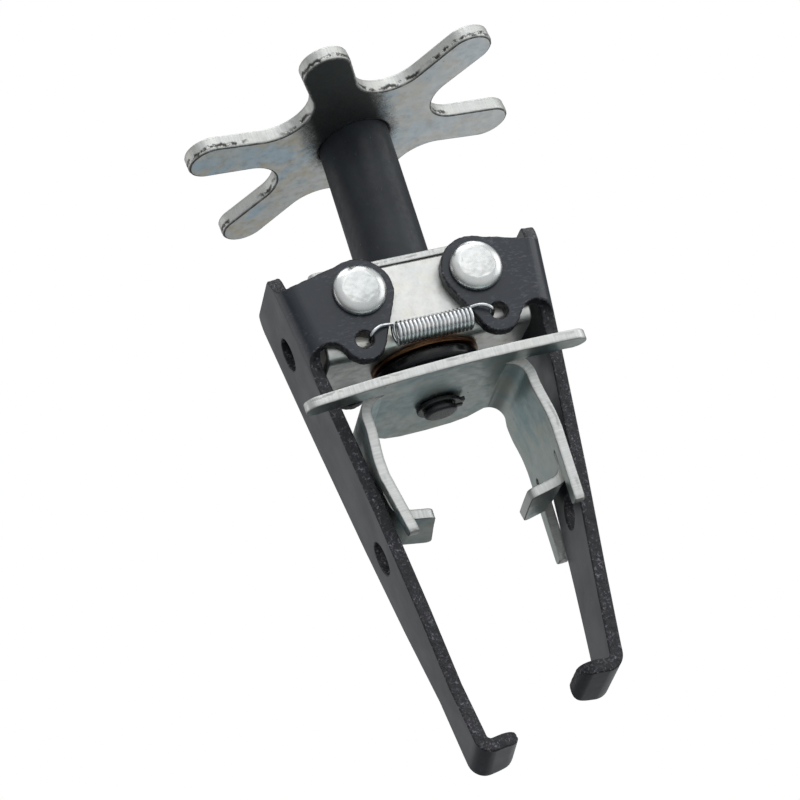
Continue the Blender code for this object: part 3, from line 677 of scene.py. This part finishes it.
def make_handle_core():
    top, low = STAR_Z + STAR_T + 1.4, WEB_Z - 6.2
    profile = [(TUBE_R - 0.4, low), (TUBE_R - 0.1, low + 0.1), (TUBE_R, low + 0.4)]
    profile += [(TUBE_R, low + (top - low) * i / 12) for i in range(1, 12)]
    profile += [(TUBE_R, top - 0.6), (TUBE_R - 0.2, top - 0.15), (TUBE_R - 0.6, top),
                (TUBE_BORE + 0.3, top), (TUBE_BORE, top - 0.3), (TUBE_BORE, low + 0.3),
                (TUBE_BORE + 0.3, low)]
    finish_piece("sleeve_tube", revolve(profile, 128), [MAT["tube"]], "handle", "handle_tube")
    inner, z = TUBE_R + GAP, WEB_Z - GAP
    rim = WASHER_R - 0.2
    finish_piece("bearing_washer", revolve([(inner, z - 1.0), (rim, z - 1.0), (WASHER_R, z - 0.8),
                                            (WASHER_R, z - 0.2), (rim, z), (inner, z)], 128),
                 [MAT["bronze"]], "handle", "thrust_washer")
    z1 = z - 1.0 - GAP
    z0 = z1 - 4.4
    profile = [(inner, z0 + 0.3), (inner + 0.3, z0), (13.2, z0)]
    profile += arc(13.6, z0 + 2.0, 2.0, -90, 0, 10)
    profile += arc(14.2, z1 - 1.4, 1.4, 0, 90, 8) + [(inner + 0.3, z1), (inner, z1 - 0.3)]
    finish_piece("retainer_ring", revolve(profile, 128), [MAT["gloss"]], "handle", "thrust_collar")


def make_spindle():
    shoulder = PUSHER_Z + PUSHER_T + 1.0 + 4 * GAP
    stub = 5.0
    groove_z = PUSHER_Z - 2 * GAP
    low = groove_z - 1.2 - 2 * GAP
    top = STAR_Z - 11.3
    profile = [(0, low - 1.35), (stub - 1.5, low - 1.4), (stub - 0.7, low - 1.3), (stub - 0.2, low - 1.0),
               (stub, low - 0.6), (stub, low), (4.2, low), (4.2, groove_z + GAP),
               (stub, groove_z + GAP), (stub, shoulder), (THREAD_R - 0.9, shoulder)]
    rings, step = [], THREAD_PITCH / 8
    z = shoulder + 0.4
    while z < top - 1.0:
        rings.append((THREAD_R, z))
        z += step
    profile += rings + [(THREAD_R - 1.2, top - 0.3), (THREAD_R - 1.6, top), (0, top)]

    def thread(radius, z, a):
        if radius != THREAD_R:
            return radius
        phase = (z / THREAD_PITCH + a / (2 * math.pi)) % 1.0
        crest = min(max(abs(phase - 0.5) * 2 * 1.25 - 0.12, 0.0), 1.0)
        fade = min(1.0, (z - shoulder) / 1.5, (top - z) / 2.0)
        return THREAD_R - THREAD_DEPTH * (1 - crest * fade)

    finish_piece("threaded_spindle", revolve(profile, 64, thread), [MAT["oxide"]],
                 "pusher_slide_group", "spindle", 50)
    outline = arc(0, 0, 6.7, 22, 338, 60)
    outline += [(7.3, -2.7), (7.3, -0.8), (4.6, -0.8)]
    outline += arc(0, 0, 4.5, 342, 18, 44)
    outline += [(4.6, 0.8), (7.3, 0.8), (7.3, 2.7)]
    bm = sheet(outline, [], [], 1.2, lambda u, v, k: (u, v, groove_z - 1.2 + k), radius=0.2,
               step=0.6, rough=0.03, wall_steps=2)
    finish_piece("spring_clip", bm, [MAT["oxide"], MAT["oxide"]], "pusher_slide_group",
                 "retaining_clip")


def make_frame():
    rim = PLATE_TOP - PLATE_T - GAP
    radius = CHANNEL_R - CHANNEL_T / 2
    flat = CHANNEL_Y - CHANNEL_R
    turn = flat + radius * math.pi / 2
    height = rim - (WEB_Z + CHANNEL_R)

    def place(u, v, k):
        s = 1 if v >= 0 else -1
        w = abs(v)
        if w <= flat:
            return (u, v, WEB_Z + k)
        if w <= turn:
            a = (w - flat) / radius
            r = CHANNEL_R - k
            return (u, s * (flat + r * math.sin(a)), WEB_Z + CHANNEL_R - r * math.cos(a))
        return (u, s * (CHANNEL_Y - k), WEB_Z + CHANNEL_R + w - turn)

    span = turn + height
    outline = rounded_rectangle(CHANNEL_X, span, 3)
    pivot = turn + PIVOT_Z - WEB_Z - CHANNEL_R
    holes = [ring(0, 0, TUBE_R + GAP, 72)]
    holes += [ring(x * PIVOT_X, y * pivot, RIVET_R + GAP) for x in (-1, 1) for y in (-1, 1)]
    lines = []
    for y in (-1, 1):
        for i in range(15):
            w = y * (flat + (turn - flat) * i / 14)
            lines.append(((-CHANNEL_X - 1, w), (CHANNEL_X + 1, w)))
    finish_piece("bearer_channel", sheet(outline, holes, lines, CHANNEL_T, place, 0.4, 1.2, 0.05),
                 [MAT["channel"], MAT["plate_cut"]], "frame", "frame_channel")
    outline = rounded_rectangle(PLATE_X, CHANNEL_Y, 2)
    bm = sheet(outline, [ring(0, 0, TUBE_R + GAP, 72)], [], PLATE_T,
               lambda u, v, k: (u, v, PLATE_TOP - PLATE_T + k), 0.35, 1.0, 0.08)
    finish_piece("cover_plate", bm, [MAT["channel"], MAT["plate_cut"]], "frame", "frame_top_plate")


def make_rivets():
    """Rivets with domed heads whose middle was flattened unevenly by the setting tool."""
    inner = CHANNEL_Y - CHANNEL_T
    base = EAR_Y + GAP
    for side, sx in (("left", -1), ("right", 1)):
        for face, sy in (("front", -1), ("rear", 1)):
            profile = [(0, inner - 2.4), (4.6, inner - 2.2), (5.8, inner - 1.2), (5.8, inner - GAP),
                       (RIVET_R, inner - GAP), (RIVET_R, base), (HEAD_R - 0.5, base),
                       (HEAD_R - 0.15, base + 0.15)]
            dome = 34
            for i in range(dome + 1):
                a = math.radians(8 + 82 * i / dome)
                profile.append((HEAD_R * math.cos(a) ** 0.8 if i < dome else 0.0,
                                base + HEAD_H * math.sin(a) ** 0.8))
            bm = revolve(profile, 96)
            seed = Vector((sx * 3.1, sy * 1.7, 0.4))
            for v in bm.verts:
                if v.co.z < base + 0.5:
                    continue
                r = math.hypot(v.co.x, v.co.y)
                p = Vector((v.co.x, v.co.y, 0)) * 0.42 + seed
                dents = noise.noise(p) + 0.35 * noise.noise(p * 2.3) + 0.1 * noise.noise(p * 5.1)
                middle = smooth((5.4 + 0.9 * noise.noise(p * 1.4) - r) / 0.9)
                level = base + HEAD_H * 0.86 + 0.09 * dents - 0.012 * r * r * 0.3
                v.co.z += middle * 0.75 * (level - v.co.z) + 0.03 * dents
            turn = Matrix.Rotation(math.radians(90 if sy < 0 else -90), 4, 'X')
            move = Matrix.Translation((sx * PIVOT_X, 0, PIVOT_Z)) @ turn
            bmesh.ops.transform(bm, matrix=move, verts=bm.verts)
            finish_piece(f"{side}_{face}_rivet_head", bm, [MAT["rivet"]], side + "_rivets",
                         f"{side}_{face}_rivet")


def jaw_local(x, z, lean):
    """Depth behind a leaning jaw's outer face, and distance down it, of a point of the tool."""
    dx, dz = x - JAW_TOP_X, z - JAW_TOP_Z
    down = -dx * math.sin(lean) - dz * math.cos(lean)
    depth = -dx * math.cos(lean) + dz * math.sin(lean)
    return depth, down


def make_jaw(hand, side):
    """Strip with two ears folded round the channel, a spring tab on each, and a hook at its foot."""
    name = hand + "_jaw"
    hook_z, jaw_lean, hook_w = HOOK_SEAT[hand], JAW_LEAN[hand], HOOK_W[hand]
    mid_r = JAW_BEND_R - JAW_T / 2
    flat = EAR_Y - JAW_BEND_R
    turn = flat + mid_r * math.pi / 2
    shift = turn - JAW_BEND_R
    pivot_d, pivot_v = jaw_local(PIVOT_X, PIVOT_Z, jaw_lean)
    tab_d, tab_v = jaw_local(TAB_X, TAB_Z, jaw_lean)
    seat_down = (JAW_TOP_Z - hook_z) / math.cos(jaw_lean)
    bend_v = seat_down - HOOK_R - JAW_T * math.tan(jaw_lean) / 2 + 0.3
    hook_mid = HOOK_R + JAW_T / 2
    bend_end = bend_v + hook_mid * math.pi / 2
    tip_v = bend_end + HOOK_LEN

    pu, pv = pivot_d + shift, pivot_v
    tu, tv = tab_d + shift, tab_v
    lean = math.degrees(math.atan2(tv - pv, tu - pu))
    side_a = lean - math.degrees(math.acos((EAR_R - TAB_R) / math.hypot(tu - pu, tv - pv)))
    arch_u, arch_v, arch_r = 19.45, tv + 2.55, 5.0
    meet = math.degrees(math.atan2(arch_v - tv, arch_u - tu))
    half = [(10.0, 0.0), (11.4, 0.1), (12.2, 0.5), (12.9, 1.3), (13.4, 2.2), (14.2, 4.4), (15.2, 5.8),
            (16.8, 6.4), (19.0, 6.5)]
    half += arc(pu, pv, EAR_R, -108, side_a, 32)
    half += arc(tu, tv, TAB_R, side_a, meet - 4 if meet > 0 else meet + 356, 28)
    start = math.degrees(math.atan2(tv - arch_v, tu - arch_u))
    half += arc(arch_u, arch_v, arch_r, start - 6, -180, 24)
    half += [(14.4, arch_v + 3), (14.2, 45), (13.1, 77), (10.8, 104), (7.6, 126)]
    half = [p for p in half if p[1] < bend_v - 6]
    half += [(hook_w, bend_v - 2), (hook_w, bend_end + HOOK_LEN - TIP_LONG)]
    for i in range(1, 13):
        a = math.radians(90 * i / 12)
        half.append((hook_w - TIP_WIDE + TIP_WIDE * math.cos(a), tip_v - TIP_LONG + TIP_LONG * math.sin(a)))
    outline = half + [(-u, v) for u, v in reversed(half)]
    holes = [ring(s * pu, pv, RIVET_R + GAP, 40) for s in (-1, 1)]
    holes += [ring(s * tu, tv, TAB_HOLE_R, 32) for s in (-1, 1)]
    holes += [ring(0, v, STRIP_HOLE_R, 48) for v in STRIP_HOLES]
    lines = []
    for s in (-1, 1):
        for i in range(16):
            w = s * (flat + (turn - flat) * i / 15)
            lines.append(((w, -2.0), (w, EAR_END + 0.5)))
        for i in range(12):
            v = arch_v + 0.5 + 4.0 * i / 11
            lines.append(((s * 8.0, v), (s * arch_u, v)))
    for i in range(16):
        v = bend_v + (bend_end - bend_v) * i / 15
        lines.append(((-20, v), (20, v)))
    for i in range(1, 10):
        v = tip_v - TIP_EDGE * i / 9
        lines.append(((-20, v), (20, v)))
    for i in range(1, 10):
        v = bend_v - SKEW_RUN * i / 9
        lines.append(((-20, v), (20, v)))

    def place(u, v, k):
        s = 1 if u >= 0 else -1
        w, depth, along = abs(u), k, v
        y = u
        if v < EAR_END and w > flat:
            a = min((w - flat) / mid_r, math.pi / 2)
            r = JAW_BEND_R - k
            yb, db = s * (flat + r * math.sin(a)), JAW_BEND_R - r * math.cos(a)
            if w > turn:
                yb, db = s * (EAR_Y - k), JAW_BEND_R + w - turn
            t = smooth((v - arch_v - 0.5) / 4.0) if w < arch_u else 0
            y, depth = yb * (1 - t) + u * t, db * (1 - t) + k * t
        if v > bend_v:
            a = min((v - bend_v) / hook_mid, math.pi / 2)
            thick = k
            if v > tip_v - TIP_EDGE:
                q = min((v - tip_v + TIP_EDGE) / TIP_EDGE, 1.0)
                thick = max(k, (JAW_T - 0.5) * (1 - math.sqrt(max(1 - q * q, 0))))
            r = HOOK_R + JAW_T - thick
            along = bend_v + r * math.sin(a)
            depth = HOOK_R + JAW_T - r * math.cos(a) + max(v - bend_end, 0)
        along += HOOK_SKEW * (u / hook_w + 1) / 2 * smooth((v - bend_v + SKEW_RUN) / SKEW_RUN)
        x = JAW_TOP_X - along * math.sin(jaw_lean) - depth * math.cos(jaw_lean)
        z = JAW_TOP_Z - along * math.cos(jaw_lean) + depth * math.sin(jaw_lean)
        return (side * x, y, z)

    bm = sheet(outline, holes, lines, JAW_T, place, 0.45, 1.0, 0.16, wall_steps=5)
    finish_piece(name + "_arm", bm, [MAT["black"], MAT["black_cut"]], name + "_body", name)


def make_pusher():
    """Plate with a long front bar and two legs, each with a front prong, a finger and a rear prong."""
    radius = PUSHER_R - PUSHER_T / 2
    flat = PUSHER_X - PUSHER_R
    turn = flat + radius * math.pi / 2
    leg = turn - PUSHER_R
    finger_mid = FINGER_R - PUSHER_T / 2

    def half_pattern(side):
        bend_end = FINGER_TURN[side] + finger_mid * FINGER_BEND
        tip = leg + bend_end + FINGER_REACH[side]
        skew = -FINGER_SKEW * side
        half = [(0.0, BAR_FRONT - 0.9), (10.0, BAR_FRONT - 0.8), (20.0, BAR_FRONT - 0.5),
                (BAR_X - 5.5, BAR_FRONT + 0.3)]
        half += arc(BAR_X - 4.0, BAR_FRONT + 4.4, 4.0, -80, 80, 18)
        half += [(BAR_X - 6.0, BAR_BACK), (flat + 0.6, BAR_BACK), (flat - 0.2, BAR_BACK + 0.6),
                 (flat + 0.6, LEG_FRONT)]
        front = leg + FRONT_PRONG[side]
        half += [(leg + 12, LEG_FRONT), (front - 1.4, LEG_FRONT), (front - 0.4, LEG_FRONT + 0.4),
                 (front, LEG_FRONT + 1.2), (front, FINGER_FRONT - 2.6),
                 (front - 0.3, FINGER_FRONT - 1.9), (front - 1.0, FINGER_FRONT - 1.6)]
        slit = leg + FINGER_TURN[side] - 3.5
        half += [(slit, FINGER_FRONT - 1.6), (slit - 0.7, FINGER_FRONT - 0.8), (slit, FINGER_FRONT)]
        half += arc(tip - TIP_R, FINGER_FRONT + TIP_R, TIP_R, -90, 0, 8)
        half += arc(tip + skew - TIP_R, FINGER_BACK - TIP_R, TIP_R, 0, 90, 8)
        half += [(slit, FINGER_BACK), (slit - 0.9, FINGER_BACK + 0.5), (slit - 1.2, FINGER_BACK + 1.5),
                 (slit - 0.8, FINGER_BACK + 2.6), (slit, FINGER_BACK + 3.0)]
        back = leg + BACK_PRONG[side]
        half += [(back - 1.0, FINGER_BACK + 3.8), (back - 0.3, FINGER_BACK + 4.1),
                 (back, FINGER_BACK + 4.8), (back, LEG_BACK - 1.6), (back - 0.5, LEG_BACK - 0.4),
                 (back - 1.6, LEG_BACK), (leg + 14, LEG_BACK), (leg + 9, LEG_BACK - 1.0)]
        half += [(turn - 0.5, 16.2), (flat, 15.2), (17.4, 15.0), (15.6, 16.6), (13.0, 18.8),
                 (8.0, 20.4), (0.0, 20.9)]
        return half

    outline = half_pattern(1) + [(-u, v) for u, v in reversed(half_pattern(-1))]
    clean = []
    for p in outline:
        if not clean or math.dist(p, clean[-1]) > 1e-6:
            clean.append(p)
    if math.dist(clean[0], clean[-1]) < 1e-6:
        clean.pop()
    lines = []
    for s in (-1, 1):
        for i in range(15):
            w = s * (flat + (turn - flat) * i / 14)
            lines.append(((w, LEG_FRONT - 0.5), (w, 22)))
        for i in range(15):
            w = s * (leg + 9 + i)
            lines.append(((w, -22), (w, 22)))
        for i in range(16):
            w = s * (leg + FINGER_TURN[s] + finger_mid * FINGER_BEND * i / 15)
            lines.append(((w, FINGER_FRONT - 0.2), (w, FINGER_BACK + 0.2)))
    for x in range(-36, 37, 6):
        lines.append(((x, -30), (x, 22)))
    for y in (-25, -15, -5, 5, 13):
        lines.append(((-flat, y), (flat, y)))

    def place(u, v, k):
        s = 1 if u >= 0 else -1
        w = abs(u)
        x, z = u, -k
        if v > (BAR_BACK + LEG_FRONT) / 2 and w > flat:
            if w <= turn:
                a = (w - flat) / radius
                r = PUSHER_R - k
                x, z = s * (flat + r * math.sin(a)), -PUSHER_R + r * math.cos(a)
            else:
                drop = w - leg
                inward, down = 0.0, drop
                if drop > FINGER_TURN[s] and FINGER_FRONT - 0.8 <= v <= FINGER_BACK + 0.8:
                    a = min((drop - FINGER_TURN[s]) / finger_mid, FINGER_BEND)
                    run = max(drop - FINGER_TURN[s] - finger_mid * FINGER_BEND, 0)
                    r = FINGER_R - k
                    down = FINGER_TURN[s] + r * math.sin(a) + run * math.cos(a)
                    inward = FINGER_R - r * math.cos(a) - k + run * math.sin(a)
                out = 1.1 * smooth((down - 9) / 12) - LEG_CLOSE[s] * max(down - 24, 0)
                x = s * (PUSHER_X + out - k - inward) + LEG_LEAN * max(down - PUSHER_R, 0)
                z = -down
        across, back = min(w, BAR_X) / BAR_X, v / BAR_FRONT
        return (x + PUSHER_SHIFT, v, z - DISH * (across * across + back * back))

    bm = sheet(clean, [ring(-PUSHER_SHIFT, 0, 5.4, 48)], lines, PUSHER_T, place, 0.3, 1.0, 0.07,
               wall_steps=4)
    turn_m = Matrix.Rotation(-PUSHER_YAW, 4, 'Z') @ Matrix.Rotation(-PUSHER_ROLL, 4, 'Y')
    bmesh.ops.transform(bm, matrix=Matrix.Translation((0, 0, PUSHER_Z + PUSHER_T)) @ turn_m,
                        verts=bm.verts)
    finish_piece("forked_pusher", bm, [MAT["pusher"], MAT["pusher_cut"]], "pusher_slide_group",
                 "pusher")


def make_spring(face, sy):
    """Extension spring in two halves, left and right, that overlap by one turn in the middle."""
    steps = 28
    spare = steps // 2
    total = COILS * steps
    hook = [(-18.2, 3.1, 0.3), (-18.35, 1.9, 0.5), (-18.3, 0.6, 0.8), (-18.0, -0.5, 1.1),
            (-17.2, -1.25, 1.7), (-15.9, -1.4, 2.4), (-14.4, -1.1, 2.9), (-12.8, -0.5, 3.05)]
    fine = []
    for i in range(len(hook) - 1):
        p0, p1, p2, p3 = (Vector(hook[max(0, min(len(hook) - 1, i + d))]) for d in (-1, 0, 1, 2))
        for j in range(5):
            t = j / 5
            fine.append(0.5 * (2 * p1 + (p2 - p0) * t + (2 * p0 - 5 * p1 + 4 * p2 - p3) * t * t
                               + (3 * p1 - p0 - 3 * p2 + p3) * t ** 3))
    fine.append(Vector(hook[-1]))

    def coil(i):
        a = 2 * math.pi * i / steps
        x = -COIL_HALF + 2 * COIL_HALF * i / total
        return Vector((x, COIL_R * math.sin(a), COIL_R * math.cos(a)))

    for side, sx in (("left", -1), ("right", 1)):
        turns = range(total // 2 + spare)
        if side == "left":
            path = fine + [coil(i) for i in turns]
        else:
            path = [Vector((-p.x, p.y, p.z)) for p in fine] + [coil(total - i) for i in turns]
        count = len(path)
        radii = [WIRE_R * (1 if sx < 0 or i < count - 2 * spare else 0.97) for i in range(count)]
        points = [(p.x, sy * (SPRING_Y - p.y), SPRING_Z + p.z) for p in path]
        bm = sweep(points, radii, 12)
        obj = finish_piece(f"{face}_spring_{side}_half", bm, [MAT["spring"]], None, None)
        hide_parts(face + "_spring")
        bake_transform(obj)


make_star()
make_handle_core()
make_spindle()
make_frame()
make_rivets()
make_jaw("left", -1)
make_jaw("right", 1)
make_pusher()
make_spring("front", -1)
make_spring("rear", 1)
for node, mat in (("drive_nut", "steel"), ("pusher_washer", "steel")):
    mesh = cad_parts[node].data
    mesh.materials.clear()
    mesh.materials.append(MAT[mat])


# ---------------------------------------------------------------- stage, light and camera
FLOOR_Z = -0.30
LAMP_AIM = (0, 0, 0.10)
CAMERA_PLACE = (-0.1602, -0.5530, -0.0896)
CAMERA_RIGHT = (0.9452, -0.1569, -0.2862)
CAMERA_UP = (0.2123, -0.3704, 0.9043)
CAMERA_LENS = 95.27


def make_floor():
    bm = bmesh.new()
    bmesh.ops.create_circle(bm, cap_ends=True, segments=96, radius=12.0)
    mesh = bpy.data.meshes.new("studio_floor")
    bm.to_mesh(mesh)
    bm.free()
    floor = bpy.data.objects.new("studio_floor", mesh)
    floor.location = (0, 0, FLOOR_Z)
    bpy.context.scene.collection.objects.link(floor)
    m = Nodes("pale_floor")
    tone = m.mix(m.noise(400, 2), (0.86, 0.86, 0.86), (0.90, 0.90, 0.90))
    mesh.materials.append(m.set(color=tone, rough=0.9, specular=0.2))
    floor.visible_glossy = False
    floor.visible_diffuse = False


# soft lobes of the tent: direction, how sharply it is bounded (cosines), brightness
TENT_BASE = 0.17
TENT = (
    ((0.25, -0.92, 0.25), -0.10, 0.92, 0.62),
    ((0.0, 0.0, 1.0), 0.35, 0.95, 0.42),
    ((0.62, 0.72, -0.30), 0.78, 0.99, 0.42),
    ((-0.45, 0.85, 0.30), 0.80, 0.98, 0.28),
)


def make_world():
    """White to the camera; towards the object a soft tent, bright in front and above."""
    world = bpy.data.worlds.new("soft_tent")
    bpy.context.scene.world = world
    world.use_nodes = True
    tree = world.node_tree
    tree.nodes.clear()
    new = tree.nodes.new
    out = new("ShaderNodeOutputWorld")
    coord = new("ShaderNodeTexCoord")
    total = None
    for direction, low, high, value in TENT:
        dot = new("ShaderNodeVectorMath")
        dot.operation = 'DOT_PRODUCT'
        tree.links.new(coord.outputs["Generated"], dot.inputs[0])
        dot.inputs[1].default_value = Vector(direction).normalized()
        lobe = new("ShaderNodeMapRange")
        lobe.interpolation_type = 'SMOOTHSTEP'
        tree.links.new(dot.outputs["Value"], lobe.inputs["Value"])
        lobe.inputs["From Min"].default_value = low
        lobe.inputs["From Max"].default_value = high
        lobe.inputs["To Max"].default_value = value
        add = new("ShaderNodeMath")
        tree.links.new(lobe.outputs[0], add.inputs[0])
        if total is None:
            add.inputs[1].default_value = TENT_BASE
        else:
            tree.links.new(total, add.inputs[1])
        total = add.outputs[0]
    tent = new("ShaderNodeBackground")
    tent.inputs["Color"].default_value = (0.97, 0.99, 1.0, 1)
    tree.links.new(total, tent.inputs["Strength"])
    white = new("ShaderNodeBackground")
    white.inputs["Color"].default_value = (1, 1, 1, 1)
    white.inputs["Strength"].default_value = 1.0
    path = new("ShaderNodeLightPath")
    mix = new("ShaderNodeMixShader")
    tree.links.new(path.outputs["Is Camera Ray"], mix.inputs["Fac"])
    tree.links.new(tent.outputs[0], mix.inputs[1])
    tree.links.new(white.outputs[0], mix.inputs[2])
    tree.links.new(mix.outputs[0], out.inputs["Surface"])


def softbox(name, place, size, power):
    """Rectangular lamp that faces the middle of the tool."""
    data = bpy.data.lights.new(name, 'AREA')
    data.shape = 'RECTANGLE'
    data.size, data.size_y = size
    data.energy = power
    lamp = bpy.data.objects.new(name, data)
    lamp.location = place
    lamp.rotation_euler = (Vector(LAMP_AIM) - Vector(place)).to_track_quat('-Z', 'Y').to_euler()
    bpy.context.scene.collection.objects.link(lamp)


def make_camera():
    data = bpy.data.cameras.new("camera")
    data.sensor_width = 36.0
    data.lens = CAMERA_LENS
    data.clip_start, data.clip_end = 0.01, 50
    cam = bpy.data.objects.new("camera", data)
    right = Vector(CAMERA_RIGHT).normalized()
    up = Vector(CAMERA_UP).normalized()
    back = right.cross(up).normalized()
    up = back.cross(right)
    turn = Matrix((right, up, back)).transposed().to_4x4()
    cam.matrix_world = Matrix.Translation(CAMERA_PLACE) @ turn
    bpy.context.scene.collection.objects.link(cam)
    bpy.context.scene.camera = cam


make_floor()
make_world()
softbox("left", (-1.0, 0.35, 0.25), (0.9, 0.9), 2.0)
softbox("front", (0.15, -1.0, 0.75), (0.9, 0.7), 1.2)
softbox("top", (0.1, -0.1, 1.1), (0.9, 0.9), 5)
softbox("right", (1.0, -0.35, 0.30), (0.8, 0.9), 2.5)
make_camera()
bpy.context.scene.view_settings.view_transform = 'Standard'
bpy.context.scene.view_settings.look = 'None'
